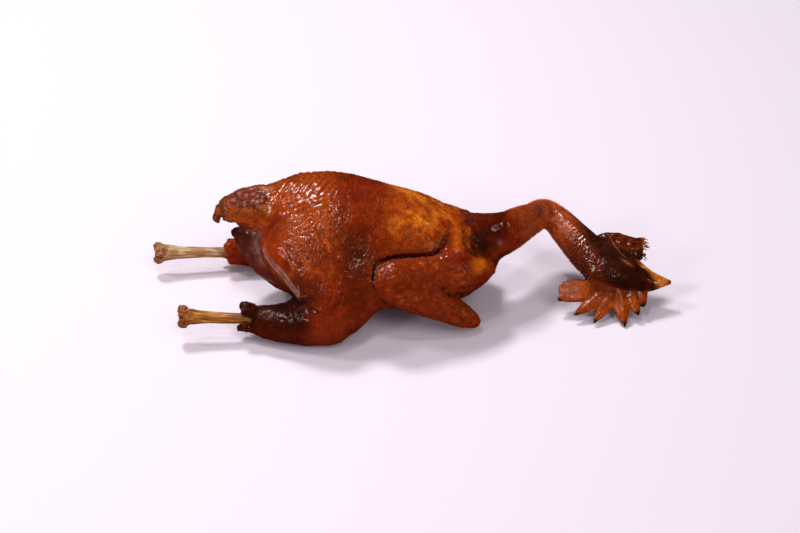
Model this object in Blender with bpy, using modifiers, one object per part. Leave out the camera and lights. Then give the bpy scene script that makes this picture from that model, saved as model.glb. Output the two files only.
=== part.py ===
# A whole braised chicken, cooked with its head on, lying on its breast.
# The bird is one solid of skin and meat. The two shin bones, bare where the
# skin has drawn back from them, are solids of their own that run up into the
# drumsticks. +X runs from the tail to the beak, +Y to the bird's left side,
# +Z up, and the floor is at z = 0.

import math

import bmesh
import bpy
from mathutils import Matrix, Vector, noise

MM = 0.001

# ---- driving dimensions, in millimetres ----

SOCKET_GAP = 0.6          # clear space between a bone and the meat round it
SOCKET_DEPTH = 1.2        # how far the hole runs on past the bone's inner end
BODY_VOXEL = 2.0          # grain of the skin where the limbs flow together
FINE_VOXEL = 1.0          # grain of the comb, the cuffs and the bones
BIRD_TRIANGLES = 8600
BONE_TRIANGLES = 620
SKIN_UNEVENNESS = 1.1     # height of the slow swells that keep the sides unlike
FLOOR_SLAB = (600, 400, 60)

# Trunk: x, side shift, height of the middle, half width, half height.
TRUNK = [
    (-112, 2, 83.5, 15, 12),
    (-100, 2, 82.5, 24, 21),
    (-84, 2, 80, 36, 31),
    (-62, 2, 71, 45, 41),
    (-36, 1, 57.5, 50, 46),
    (-8, 0, 47, 49.5, 49),
    (20, 0, 42.5, 46.5, 45),
    (46, -1, 40, 35, 36.5),
    (64, -1, 42, 25, 27),
    (75, -1, 44, 13, 15),
]

# Belly: x, side shift, height, half width, half height, behind the breast.
BELLY = [
    (-127, 2, 62, 9, 10),
    (-117, 3, 56, 17, 21),
    (-102, 3, 50, 25, 32),
    (-84, 2, 46, 32, 42),
    (-60, 0, 44, 38, 42),
    (-36, 0, 44, 42, 42),
]

# Tail stump: x, height, half width, half height.
TAIL = [
    (-98, 86.5, 19, 15),
    (-112, 88, 18, 14),
    (-124, 87, 16.5, 12.5),
    (-133, 84, 12.5, 10),
    (-139, 81.5, 8, 8),
]

# Neck: x, y, z, half width, half height, from the trunk round to the skull.
NECK = [
    (36, -1, 55, 26, 22),
    (58, 0, 54.5, 17, 24.5),
    (76, 2, 55.5, 12.5, 22.5),
    (92, 14, 56.5, 11.5, 17),
    (107, 33, 54, 11.5, 12.5),
    (119, 50, 49.5, 11.5, 12.5),
    (128.5, 44, 45.5, 12, 12.5),
    (137, 29, 41, 13, 13),
    (147, 15, 36, 15, 14.5),
    (156.5, 6, 32, 17.5, 15),
    (166, 1, 29.5, 18, 14),
]

# Head, in its own plane: the skull lies on its cheek with the comb down.
HEAD_CENTRE = (180, -3, 28)
HEAD_TILT = 33.4          # degrees by which the throat side is raised
# along the head, throat-ward shift, half depth, half thickness
SKULL = [
    (-30, 8, 19, 12),
    (-20, 7, 22, 14),
    (-9, 2, 19.5, 14),
    (2, -4, 15, 12.5),
    (11, -8, 10.8, 10),
    (19, -11.2, 9.6, 7),
    (28, -10.2, 5, 4.4),
    (37, -11, 2.2, 2.1),
]
COMB_THICK = 4.2
COMB_BULGE = 1.3          # how far the comb's blade waves out of its own plane

LEGS = {
    # hip, knee, ankle and the tip of the bare bone
    "near": {
        "hip": (-78, -20, 84),
        "knee": (-52, -61, 23.5),
        "ankle": (-119, -55.5, 18.5),
        "bone_end": (-171, -57, 22),
    },
    "far": {
        "hip": (-80, 20, 84),
        "knee": (-66, 53, 23.5),
        "ankle": (-140, 40, 15.5),
        "bone_end": (-201.5, 33.5, 19.2),
    },
}
# Share of the way from the hip to the knee, half width, half thickness, lead.
THIGH = [
    (-0.12, 22, 12, 0),
    (0.06, 35, 18, 0),
    (0.30, 36, 24, 0),
    (0.55, 28.5, 26, 2.5),
    (0.80, 21, 25, 4.5),
    (1.0, 18.5, 20, 3),
    (1.08, 11, 12, 2),
]
# Share of the way from the knee to the ankle, half width, half height, sag.
DRUMSTICK = [
    (-0.18, 14, 15, 0),
    (-0.02, 20, 22.5, 0),
    (0.22, 19.5, 21, 2),
    (0.48, 16.5, 17.5, 4),
    (0.70, 13.8, 14, 4.6),
    (0.90, 10.4, 10.8, 0.6),
    (1.02, 9.6, 10.4, 0),
]
# The skin web from knee to flank: ahead of the knee, inward, down, radius.
KNEE_WEB = [
    (-4, 3, 0, 19),
    (12, 5.5, 1, 17.5),
    (23, 12, 0.5, 9.5),
    (34, 19, 0.5, 4.5),
]
# Flank skin between thigh and wing: x, distance out, height, half width, half height.
FLANK = [
    (-52, 40, 54, 13, 18),
    (-31, 45.5, 46, 16.5, 25),
    (-13, 42, 40, 13, 22),
    (4, 37, 35, 8, 14),
]
# The crevice round the folded wing: share of the way from the shoulder to the
# elbow, height over that line, distance out from it, radius.
WING_CREVICE = [
    (0.33, 24, -13, 0.8),
    (0.37, 19.5, -9, 1.5),
    (0.45, 16, -5, 1.9),
    (0.64, 14.5, -6, 1.9),
    (0.78, 14.5, -8, 1.9),
    (0.91, 13.5, -9.5, 1.9),
    (1.03, 10, -10, 1.9),
    (1.09, 6, -6, 1.9),
    (1.11, 1, 0, 1.7),
    (1.09, -5, 5, 0.9),
]
CUFF_LOBES = [
    # angle round the bone, how far past the ankle, lobe radius
    (70, 5.0, 4.6),
    (118, 3.5, 4.0),
    (165, 1.0, 3.6),
    (215, 1.5, 3.2),
    (262, 7.0, 2.9),
    (300, 4.5, 3.0),
    (350, 1.5, 3.4),
    (25, 2.5, 3.8),
]

WINGS = {
    "near": {
        "shoulder": (63.5, -29, 46.5),
        "elbow": (-12, -56, 56),
        "wrist": (60, -48, 9.5),
    },
    "far": {
        "shoulder": (61, 27, 42),
        "elbow": (-14, 55, 53),
        "wrist": (56, 52, 9.5),
    },
}
# Share of the way from the shoulder to the elbow, half height, half thickness.
UPPER_WING = [
    (-0.13, 5, 6),
    (0.03, 12, 11),
    (0.23, 20, 14),
    (0.48, 16, 13),
    (0.75, 14.5, 12.5),
    (0.94, 15.5, 12),
    (1.06, 10, 8),
]
# Share of the way from the elbow to the wrist, half height, half thickness.
LOWER_WING = [
    (-0.08, 12, 9),
    (0.08, 15, 11),
    (0.32, 16.5, 11.5),
    (0.58, 13, 10.5),
    (0.82, 9.5, 8.6),
    (0.98, 7, 7),
    (1.03, 4, 4),
]

SHAFT_RADIUS = 4.2
BONE_COLOURS = {"near": (0.36, 0.14, 0.03), "far": (0.42, 0.20, 0.10)}
# Share of the bare bone from the ankle to its end, factor across, factor up.
BONE = [
    (-0.95, 0.80, 0.80),
    (-0.55, 0.95, 0.95),
    (0.0, 1.0, 1.0),
    (0.40, 1.0, 1.05),
    (0.68, 1.1, 1.25),
    (0.85, 1.3, 1.75),
    (0.96, 1.3, 2.05),
    (1.0, 1.0, 1.7),
]


# ---- tools ----


def clear_scene():
    for obj in list(bpy.data.objects):
        bpy.data.objects.remove(obj, do_unlink=True)


def collection(name, shown):
    made = bpy.data.collections.new(name)
    made.hide_render = not shown
    bpy.context.scene.collection.children.link(made)
    return made


def material(name, colour, roughness):
    made = bpy.data.materials.new(name)
    made.use_nodes = True
    shader = made.node_tree.nodes["Principled BSDF"]
    shader.inputs["Base Color"].default_value = (*colour, 1)
    shader.inputs["Roughness"].default_value = roughness
    shader.inputs["Metallic"].default_value = 0
    made.diffuse_color = (*colour, 1)
    return made


def object_of(name, bm, home):
    mesh = bpy.data.meshes.new(name)
    bmesh.ops.recalc_face_normals(bm, faces=bm.faces)
    bm.to_mesh(mesh)
    bm.free()
    obj = bpy.data.objects.new(name, mesh)
    home.objects.link(obj)
    return obj


def subdivided(obj, levels=2):
    smooth = obj.modifiers.new("Subdivision", "SUBSURF")
    smooth.levels = smooth.render_levels = levels
    return obj


def loft(name, stations, home, up=(0, 0, 1), sides=12, levels=2):
    """A closed round-ended form through (centre, half width, half height)."""
    up = Vector(up)
    swell = 3 / (2 + math.cos(2 * math.pi / sides))
    centres = [Vector(s[0]) * MM for s in stations]
    bm = bmesh.new()
    rings = []
    ends = []
    for i, (_, half_width, half_height) in enumerate(stations):
        ahead = centres[min(i + 1, len(centres) - 1)]
        behind = centres[max(i - 1, 0)]
        along = (ahead - behind).normalized()
        side = along.cross(up).normalized()
        top = side.cross(along)
        ring = []
        for k in range(sides):
            turn = 2 * math.pi * k / sides
            offset = side * (half_width * math.cos(turn))
            offset += top * (half_height * math.sin(turn))
            ring.append(bm.verts.new(centres[i] + offset * (swell * MM)))
        rings.append(ring)
        if i in (0, len(stations) - 1):
            outward = -along if i == 0 else along
            reach = 0.45 * min(half_width, half_height) * MM
            ends.append(bm.verts.new(centres[i] + outward * reach))
    for first, second in zip(rings, rings[1:]):
        for k in range(sides):
            n = (k + 1) % sides
            bm.faces.new((first[k], first[n], second[n], second[k]))
    for pole, ring in zip(ends, (rings[0], rings[-1])):
        for k in range(sides):
            bm.faces.new((ring[k], ring[(k + 1) % sides], pole))
    return subdivided(object_of(name, bm, home), levels)


def ball(name, centre, radii, home, turn=0.0):
    """An ellipsoid, its radii along x, y and z, turned about y by turn."""
    bm = bmesh.new()
    bmesh.ops.create_uvsphere(bm, u_segments=16, v_segments=10, radius=1)
    size = Matrix.Diagonal((*(Vector(radii) * MM), 1))
    place = Matrix.Translation(Vector(centre) * MM)
    tilt = Matrix.Rotation(math.radians(turn), 4, "Y")
    bmesh.ops.transform(bm, matrix=place @ tilt @ size, verts=bm.verts)
    return object_of(name, bm, home)


def floor_slab(home):
    """A slab whose top is the floor, to cut the undersides flat."""
    bm = bmesh.new()
    bmesh.ops.create_cube(bm, size=1)
    size = Matrix.Diagonal((*(Vector(FLOOR_SLAB) * MM), 1))
    drop = Matrix.Translation((0, 0, -FLOOR_SLAB[2] / 2 * MM))
    bmesh.ops.transform(bm, matrix=drop @ size, verts=bm.verts)
    return object_of("floor_slab", bm, home)


def evaluated_mesh(obj):
    bpy.context.view_layer.update()
    graph = bpy.context.evaluated_depsgraph_get()
    return bpy.data.meshes.new_from_object(obj.evaluated_get(graph))


def bake(obj):
    """Applies the object's modifiers and leaves it a plain mesh."""
    mesh = evaluated_mesh(obj)
    obj.modifiers.clear()
    obj.data = mesh
    return obj


def gathered(name, pieces, home):
    """The pieces as one object whose shells still overlap."""
    bm = bmesh.new()
    for piece in pieces:
        mesh = evaluated_mesh(piece)
        mesh.transform(piece.matrix_world)
        bm.from_mesh(mesh)
        bpy.data.meshes.remove(mesh)
        bpy.data.objects.remove(piece, do_unlink=True)
    mesh = bpy.data.meshes.new(name)
    bm.to_mesh(mesh)
    bm.free()
    obj = bpy.data.objects.new(name, mesh)
    home.objects.link(obj)
    return obj


def flowed(obj, voxel, passes):
    """Melts overlapping shells into one skin and softens where they meet."""
    melt = obj.modifiers.new("Melt", "REMESH")
    melt.mode = "VOXEL"
    melt.voxel_size = voxel * MM
    ease = obj.modifiers.new("Ease", "SMOOTH")
    ease.factor = 0.5
    ease.iterations = passes
    return bake(obj)


def thinned(obj, triangles):
    """Collapses the mesh to about this many triangles, without folded flaps."""
    obj.data.calc_loop_triangles()
    thin = obj.modifiers.new("Thin", "DECIMATE")
    thin.ratio = triangles / len(obj.data.loop_triangles)
    thin.use_collapse_triangulate = True
    bake(obj)
    bm = bmesh.new()
    bm.from_mesh(obj.data)
    flaps = {face for edge in bm.edges if edge.is_boundary for face in edge.link_faces}
    bmesh.ops.delete(bm, geom=list(flaps), context="FACES")
    bm.to_mesh(obj.data)
    bm.free()
    return obj


def combined(obj, operation, others):
    """One Boolean of obj with every object of a collection, applied."""
    change = obj.modifiers.new("Change", "BOOLEAN")
    change.operation = operation
    change.operand_type = "COLLECTION"
    change.collection = others
    change.solver = "EXACT"
    return bake(obj)


def between(a, b, share):
    return Vector(a).lerp(Vector(b), share)


def swell_unevenly(obj, height, size, seed):
    """Slow swells, so that the left and right sides are not mirror images."""
    shift = Vector((seed, 2 * seed, -seed))
    normals = [vertex.normal.copy() for vertex in obj.data.vertices]
    for vertex, normal in zip(obj.data.vertices, normals):
        lift = noise.noise(vertex.co / (size * MM) + shift)
        vertex.co += normal * (lift * height * MM)


# ---- the bird ----


def trunk(home):
    made = [
        loft(name, [((x, y, z), w, h) for x, y, z, w, h in stations], home, sides=16)
        for name, stations in (("trunk", TRUNK), ("belly", BELLY))
    ]
    made.append(loft("tail", [((x, 0, z), w, h) for x, z, w, h in TAIL], home))
    return made


def shoulder_ridges(home):
    """The two blades that show through the skin behind the neck."""
    return [
        loft(
            f"ridge_{side}",
            [
                ((36, -6 * side, 73), 6, 4.5),
                ((42, -15 * side, 69.5), 7, 5.5),
                ((49, -25 * side, 61), 7.5, 6),
                ((56, -31 * side, 51), 8, 6),
            ],
            home,
            up=(0, -side, 0.5),
        )
        for side in (1, -1)
    ]


def leg(side, points, home):
    hip, knee, ankle = points["hip"], points["knee"], points["ankle"]
    outward = -1 if side == "near" else 1
    thigh = loft(
        "thigh_" + side,
        [(between(hip, knee, t) + Vector((lead, 0, 0)), w, h) for t, w, h, lead in THIGH],
        home,
        up=(0.1, 0.8 * outward, 0.6),
    )
    shank = loft(
        "drumstick_" + side,
        [
            (between(knee, ankle, t) - Vector((0, 0, sag)), w, h)
            for t, w, h, sag in DRUMSTICK
        ],
        home,
    )
    web = loft(
        "knee_web_" + side,
        [
            (Vector(knee) + Vector((ahead, -outward * inward, -down)), r, r)
            for ahead, inward, down, r in KNEE_WEB
        ],
        home,
    )
    flank = loft(
        "flank_" + side,
        [((x, outward * y, z), w, h) for x, y, z, w, h in FLANK],
        home,
    )
    return [thigh, shank, web, flank]


def wing(side, points, home):
    shoulder, elbow, wrist = points["shoulder"], points["elbow"], points["wrist"]
    outward = -1 if side == "near" else 1
    upper = loft(
        "upper_wing_" + side,
        [(between(shoulder, elbow, t), t_h, t_t) for t, t_h, t_t in UPPER_WING],
        home,
        up=(0, outward, 0.15),
    )
    lower = loft(
        "lower_wing_" + side,
        [(between(elbow, wrist, t), t_h, t_t) for t, t_h, t_t in LOWER_WING],
        home,
        up=(0.1, outward, 0.3),
    )
    return [upper, lower]


def wing_crevice(side, points, home):
    """The cutter for the narrow fold between the body and the wing's upper edge."""
    shoulder, elbow = points["shoulder"], points["elbow"]
    outward = -1 if side == "near" else 1
    return loft(
        "wing_crevice_" + side,
        [
            (between(shoulder, elbow, t) + Vector((0, outward * out, up)), r, r)
            for t, up, out, r in WING_CREVICE
        ],
        home,
        up=(0, outward, 0.2),
        sides=8,
        levels=1,
    )


def head_frame():
    """Axes of the head's own plane: along, throat-ward and out of the cheek."""
    tilt = math.radians(HEAD_TILT)
    along = Vector((1, 0, 0))
    throat = Vector((0, math.cos(tilt), math.sin(tilt)))
    cheek = Vector((0, -math.sin(tilt), math.cos(tilt)))
    return along, throat, cheek


def in_head(s, t, n=0.0):
    along, throat, cheek = head_frame()
    return Vector(HEAD_CENTRE) + along * s + throat * t + cheek * n


def skull(home):
    _, throat, _ = head_frame()
    stations = [(in_head(s, t), thick, deep) for s, t, deep, thick in SKULL]
    return loft("skull", stations, home, up=throat)


def comb_outline():
    """The comb in the head's plane: a blade behind and five points."""
    points = [(-22, -10), (-40, -8.5), (-50, -10), (-54, -15), (-53, -21), (-55, -26.5)]
    spikes = [
        # notch before the point, the point
        ((-34, -27), (-43.5, -39.5)),
        ((-23, -32), (-28, -46)),
        ((-11, -31.5), (-3, -49)),
        ((1.5, -31), (8.6, -39.8)),
        ((9.5, -28.5), (13.6, -32.3)),
    ]
    for notch, tip in spikes:
        points += [notch, tip]
    return points + [(16.5, -18), (10, -8)]


def comb(home):
    """A flat blade on its edge, thick at the skull and thin at the points."""
    outline = comb_outline()
    curve = bpy.data.curves.new("comb", "CURVE")
    curve.dimensions = "2D"
    curve.fill_mode = "BOTH"
    curve.extrude = COMB_THICK / 2 * MM
    spline = curve.splines.new("POLY")
    spline.points.add(len(outline) - 1)
    for point, (s, t) in zip(spline.points, outline):
        point.co = (s * MM, t * MM, 0, 1)
    spline.use_cyclic_u = True
    flat = bpy.data.objects.new("comb_outline", curve)
    home.objects.link(flat)
    mesh = evaluated_mesh(flat)
    bpy.data.objects.remove(flat, do_unlink=True)
    obj = bpy.data.objects.new("comb", mesh)
    home.objects.link(obj)
    bm = bmesh.new()
    bm.from_mesh(mesh)
    bmesh.ops.remove_doubles(bm, verts=bm.verts, dist=0.01 * MM)
    bm.to_mesh(mesh)
    bm.free()
    flowed(obj, FINE_VOXEL, 4)
    along, throat, cheek = head_frame()
    for vertex in obj.data.vertices:
        s, t, n = vertex.co / MM
        depth = min(1.0, max(0.0, (-t - 12) / 36))
        n *= 1.45 - 0.75 * depth
        sway = COMB_BULGE * math.sin(s * 0.16 + 0.6) * depth
        vertex.co = in_head(s, t, n + sway) * MM
    return obj


def throat_flap(home):
    """The cut windpipe and skin that stick out past the back of the jaw."""
    _, throat, cheek = head_frame()
    strip = loft(
        "throat_strip",
        [
            (in_head(-24, 21, 1), 5, 7),
            (in_head(-10, 26, 2), 5, 8),
            (in_head(2, 22, 1), 4.6, 7.5),
            (in_head(10, 18.5, 1), 4.8, 9),
            (in_head(14, 17.5, 1), 3.8, 9.5),
        ],
        home,
        up=throat,
    )
    shreds = [strip]
    for n, (s, t, out) in enumerate(
        [(17, 26, 1), (18.5, 22.5, -1), (16, 17, 2), (17.5, 12.5, 0), (14.5, 9, 1.5)]
    ):
        shreds.append(
            loft(
                f"throat_shred_{n}",
                [
                    (in_head(8, t - 1, out * 0.5), 2.6, 2.6),
                    (in_head(s - 3, t, out), 2.0, 2.0),
                    (in_head(s, t + 0.5, out), 1.2, 1.2),
                ],
                home,
                up=throat,
                sides=8,
            )
        )
    return shreds


def cuff(side, points, home):
    """Ragged lobes of skin where the drumstick has shrunk off its bone."""
    knee, ankle = Vector(points["knee"]), Vector(points["ankle"])
    tip = Vector(points["bone_end"])
    along = (tip - ankle).normalized()
    across = along.cross(Vector((0, 0, 1))).normalized()
    top = across.cross(along)
    root = (ankle - knee).normalized()
    lobes = []
    for n, (angle, reach, radius) in enumerate(CUFF_LOBES):
        turn = math.radians(angle if side == "near" else angle + 47)
        spoke = across * math.cos(turn) + top * math.sin(turn)
        ring = 8.3
        lobes.append(
            loft(
                f"cuff_{side}_{n}",
                [
                    (ankle - root * 9 + spoke * (ring - 2.5), radius, radius),
                    (ankle + spoke * ring, radius * 1.05, radius * 0.9),
                    (ankle + along * reach + spoke * (ring + 0.5), radius, radius * 0.8),
                ],
                home,
                up=spoke,
                sides=8,
            )
        )
    return lobes


def tail_hook(home):
    """The dark tip that curls down from the end of the tail."""
    return loft(
        "tail_hook",
        [
            ((-132, 0, 86), 8, 5),
            ((-139.5, 0, 84), 6.2, 3.8),
            ((-143.5, 0, 78), 4.6, 3),
            ((-143, -1, 72), 2.8, 2),
        ],
        home,
        up=(-1, 0, 0.4),
        sides=10,
    )


def vent_lips(home):
    """The torn edge of the vent, two lobes under the tail."""
    return [
        loft(
            "vent_lip_upper",
            [((-112, 8, 73), 9, 7), ((-124, 7, 70), 7, 6), ((-131, 6, 66), 4, 4)],
            home,
        ),
        loft(
            "vent_lip_lower",
            [((-112, 3, 60), 12, 8), ((-126, 3, 60), 7, 5), ((-133, 3, 59), 3.6, 3.2)],
            home,
        ),
    ]


def bone(side, points, home, grow=0.0, levels=2):
    """A shin bone, or with grow the hole in the meat that it sits in."""
    ankle, tip = Vector(points["ankle"]), Vector(points["bone_end"])
    stations = []
    for share, wide, high in BONE:
        across, upward = SHAFT_RADIUS * wide + grow, SHAFT_RADIUS * high + grow
        stations.append((between(ankle, tip, share), across, upward))
    if grow:
        deeper = (tip - ankle).normalized() * SOCKET_DEPTH
        stations[0] = (stations[0][0] - deeper, *stations[0][1:])
    return loft("bone_" + side, stations, home, sides=10, levels=levels)


def knuckles(side, points, home):
    """The two rounded ends of the joint, with the torn sinew round them."""
    ankle, tip = Vector(points["ankle"]), Vector(points["bone_end"])
    along = (tip - ankle).normalized()
    made = []
    for n, (up_by, out_by, radius) in enumerate(
        [(5.2, 1.0, 4.4), (-4.8, -1.0, 4.8), (0.5, 2.6, 3.8), (-0.5, -2.8, 3.6)]
    ):
        centre = tip - along * 3.5 + Vector((0, out_by, up_by))
        made.append(
            ball(f"knuckle_{side}_{n}", centre, (radius, radius, radius), home)
        )
    sinews = [(8.2, 0.5, -1.5), (-9.0, 1.0, -1.0), (-7.6, -2.5, 2.5), (6.4, 2.0, 1.2)]
    for n, (up_by, out_by, reach) in enumerate(sinews):
        root = tip - along * 9 + Vector((0, out_by * 0.5, up_by * 0.55))
        end = tip + along * (reach - 1) + Vector((0, out_by, up_by))
        made.append(
            loft(
                f"sinew_{side}_{n}",
                [(root, 2.0, 2.0), (root.lerp(end, 0.6), 1.7, 1.7), (end, 0.9, 0.9)],
                home,
                sides=8,
            )
        )
    return made


def build():
    clear_scene()
    shown = collection("braised_chicken", True)
    fine = collection("fused_on", False)
    cutters = collection("cutters", False)

    skin = material("braised_skin", (0.30, 0.07, 0.015), 0.32)

    masses = trunk(shown) + shoulder_ridges(shown)
    for side in ("near", "far"):
        masses += leg(side, LEGS[side], shown)
        masses += wing(side, WINGS[side], shown)
    masses.append(loft("neck", [((x, y, z), w, h) for x, y, z, w, h in NECK], shown))
    masses.append(skull(shown))
    bird = gathered("bird", masses, shown)
    flowed(bird, BODY_VOXEL, 5)
    swell_unevenly(bird, SKIN_UNEVENNESS, 26, 3.7)

    comb(fine)
    gathered_pieces = throat_flap(fine) + [tail_hook(fine)] + vent_lips(fine)
    for side in ("near", "far"):
        gathered_pieces += cuff(side, LEGS[side], fine)
    flowed(gathered("shreds", gathered_pieces, fine), FINE_VOXEL, 2)
    combined(bird, "UNION", fine)
    for obj in list(fine.objects):
        bpy.data.objects.remove(obj, do_unlink=True)
    thinned(bird, BIRD_TRIANGLES)

    for side in ("near", "far"):
        socket = bone(side, LEGS[side], cutters, SOCKET_GAP, levels=1)
        bake(socket).name = "socket_" + side
        bake(wing_crevice(side, WINGS[side], cutters))
    ball("oil_gland_dent", (-112, -3, 106), (13, 9, 6.5), cutters, turn=4)
    ball("vent_hollow", (-127, 5, 65.5), (16, 5, 3.4), cutters)
    floor_slab(cutters)
    for cutter in cutters.objects:
        cutter.hide_render = True
        cutter.display_type = "WIRE"
    combined(bird, "DIFFERENCE", cutters)
    bird.data.materials.clear()
    bird.data.materials.append(skin)

    for side in ("near", "far"):
        pieces = [bone(side, LEGS[side], shown)] + knuckles(side, LEGS[side], shown)
        shin = gathered("shin_bone_" + side, pieces, shown)
        flowed(shin, 0.8, 2)
        thinned(shin, BONE_TRIANGLES)
        shin.data.materials.append(material("bare_bone_" + side, BONE_COLOURS[side], 0.4))

    for obj in shown.objects:
        obj.data.shade_smooth()
    for obj in list(cutters.objects):
        bpy.data.objects.remove(obj, do_unlink=True)


build()
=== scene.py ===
import math
import random

import bmesh
import bpy
import numpy as np
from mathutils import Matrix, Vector, noise
from mathutils.bvhtree import BVHTree
from mathutils.kdtree import KDTree


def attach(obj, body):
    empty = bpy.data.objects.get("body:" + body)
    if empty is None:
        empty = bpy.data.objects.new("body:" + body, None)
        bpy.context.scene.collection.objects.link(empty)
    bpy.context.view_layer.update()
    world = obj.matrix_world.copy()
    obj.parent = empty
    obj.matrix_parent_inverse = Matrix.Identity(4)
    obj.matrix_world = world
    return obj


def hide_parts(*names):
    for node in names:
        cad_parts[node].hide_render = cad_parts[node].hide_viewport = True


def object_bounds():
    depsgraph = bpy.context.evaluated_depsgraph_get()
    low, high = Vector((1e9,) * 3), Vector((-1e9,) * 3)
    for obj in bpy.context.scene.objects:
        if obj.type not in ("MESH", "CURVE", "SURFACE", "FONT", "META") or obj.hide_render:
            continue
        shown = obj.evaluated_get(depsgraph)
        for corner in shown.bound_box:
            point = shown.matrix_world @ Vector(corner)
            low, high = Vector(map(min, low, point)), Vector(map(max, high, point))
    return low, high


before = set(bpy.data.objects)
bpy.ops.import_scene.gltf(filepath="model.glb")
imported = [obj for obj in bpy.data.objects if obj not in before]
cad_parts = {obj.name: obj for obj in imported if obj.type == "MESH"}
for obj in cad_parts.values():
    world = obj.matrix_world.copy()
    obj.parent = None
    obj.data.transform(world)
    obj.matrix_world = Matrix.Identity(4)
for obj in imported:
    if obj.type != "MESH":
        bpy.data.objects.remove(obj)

# A whole braised chicken on its breast. +X runs to the beak, +Y to the bird's left, +Z up.
# Places and sizes are in millimetres and become metres only where a mesh is written.
mm = 0.001
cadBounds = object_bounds()
boxLow = np.array(cadBounds[0]) / mm
boxHigh = np.array(cadBounds[1]) / mm
scene = bpy.context.scene
tolerance = {"inside": 0.02, "merge": 0.01}  # what points keep from the box's faces; what is one point
seedStep = (17.3, -9.1, 5.7)  # from one noise pattern to the next
upward = Vector((0, 0, 1))


# tools for meshes

def link(name, mesh):
    piece = bpy.data.objects.new(name, mesh)
    scene.collection.objects.link(piece)
    return piece


def fromShell(name, shell):
    mesh = bpy.data.meshes.new(name)
    shell.to_mesh(mesh)
    shell.free()
    return mesh


def mergedCopy(nodeName, name, keepFrom=None, keepTo=None):
    # the solid's own mesh, merged; keepFrom and keepTo cut it across X and cap the cut
    shell = bmesh.new()
    shell.from_mesh(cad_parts[nodeName].data)
    bmesh.ops.remove_doubles(shell, verts=shell.verts, dist=tolerance["merge"] * mm)
    for place, outward in ((keepFrom, -1), (keepTo, 1)):
        if place is None:
            continue
        bmesh.ops.bisect_plane(
            shell, geom=[*shell.verts, *shell.edges, *shell.faces], plane_co=(place * mm, 0, 0),
            plane_no=(outward, 0, 0), clear_outer=True,
        )
        bmesh.ops.holes_fill(shell, edges=[e for e in shell.edges if e.is_boundary])
    bmesh.ops.triangulate(shell, faces=shell.faces)
    return link(name, fromShell(name, shell))


def modify(piece, name, kind, **settings):
    made = piece.modifiers.new(name, kind)
    for key, value in settings.items():
        setattr(made, key, value)
    return made


def evaluated(piece):
    # what the live modifiers make of a piece, as a plain mesh
    bpy.context.view_layer.update()
    graph = bpy.context.evaluated_depsgraph_get()
    return bpy.data.meshes.new_from_object(piece.evaluated_get(graph))


def settle(piece):
    mesh = evaluated(piece)
    piece.modifiers.clear()
    piece.data = mesh
    return piece


def remeshed(piece, voxel, passes):
    modify(piece, "Melt", "REMESH", mode="VOXEL", voxel_size=voxel * mm, use_smooth_shade=True)
    modify(piece, "Ease", "SMOOTH", factor=0.5, iterations=passes)
    return settle(piece)


def readVectors(store, field, unit=1.0):
    flat = np.empty(len(store) * 3)
    store.foreach_get(field, flat)
    return flat.reshape(-1, 3) / unit


def pointsOf(mesh):
    return readVectors(mesh.vertices, "co", mm)


def movePoints(mesh, points):
    kept = np.clip(points, boxLow + tolerance["inside"], boxHigh - tolerance["inside"])
    mesh.vertices.foreach_set("co", (kept * mm).ravel())
    mesh.update()


def keepValues(mesh, name, values, kind="FLOAT"):
    field = {"FLOAT": "value", "FLOAT_VECTOR": "vector", "FLOAT_COLOR": "color"}[kind]
    if kind == "FLOAT_COLOR":
        values = np.hstack([values, np.ones((len(values), 1))])
    store = mesh.attributes.new(name, kind, "POINT")
    store.data.foreach_set(field, values.astype(np.float32).ravel())


def surfaceOf(piece):
    # for finding places on a piece
    return BVHTree.FromPolygons(
        [Vector(p) for p in pointsOf(piece.data)], [tuple(f.vertices) for f in piece.data.polygons],
    )


def ramp(low, high, values):
    share = np.clip((values - low) / (high - low), 0, 1)
    return share * share * (3 - 2 * share)


def band(low, high, edge, values):
    return ramp(low - edge, low + edge, values) * (1 - ramp(high - edge, high + edge, values))


def grain(points, size, seed):
    shift = Vector([seed * step for step in seedStep])
    return np.array([noise.noise(Vector(p) / size + shift) for p in points.tolist()])


def cloud(points, level, height, size, seed):
    return level + height * grain(points, size, seed)


def blob(points, centre, radii):
    # 1 in the middle of an ellipsoid, 0 from its surface outwards
    reach = np.sqrt((((points - np.array(centre)) / np.array(radii)) ** 2).sum(1))
    return 1 - ramp(0, 1, reach)


def bothSides(centre, radii):
    x, y, z = centre
    return [((x, -y, z), radii), ((x, y, z), radii)]


def smoothPath(corners, steps=6):
    # a curve through the corners, Catmull-Rom
    padded = [np.array(c, float) for c in (corners[0], *corners, corners[-1])]
    path = []
    for a, b, c, d in zip(padded, padded[1:], padded[2:], padded[3:]):
        for k in range(steps):
            t = k / steps
            path.append(
                0.5 * (2 * b + (c - a) * t + (2 * a - 5 * b + 4 * c - d) * t**2
                       + (3 * b - a - 3 * c + d) * t**3)
            )
    return np.array(path + [padded[-1]])


def nearestOn(points, path):
    # distance to the path, the piece of it that is nearest, and the share along that piece
    nearest = np.full(len(points), np.inf)
    piece = np.zeros(len(points), int)
    share = np.zeros(len(points))
    for k, (a, b) in enumerate(zip(path, path[1:])):
        step = b - a
        part = np.clip(((points - a) @ step) / np.linalg.norm(step) ** 2, 0, 1)
        gap = np.linalg.norm(points - (a + part[:, None] * step), axis=1)
        closer = gap < nearest
        nearest[closer] = gap[closer]
        share[closer] = part[closer]
        piece[closer] = k
    return nearest, piece, share


def alongPath(points, path):
    # distance to the path, and how far along it the nearest place is
    path = np.array(path, float)
    lengths = np.linalg.norm(np.diff(path, axis=0), axis=1)
    gap, piece, share = nearestOn(points, path)
    return gap, np.r_[0, np.cumsum(lengths)][piece] + share * lengths[piece]


def shown(red, green, blue):
    # a colour as it is seen, made linear
    return tuple(((c / 255 + 0.055) / 1.055) ** 2.4 for c in (red, green, blue))


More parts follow.
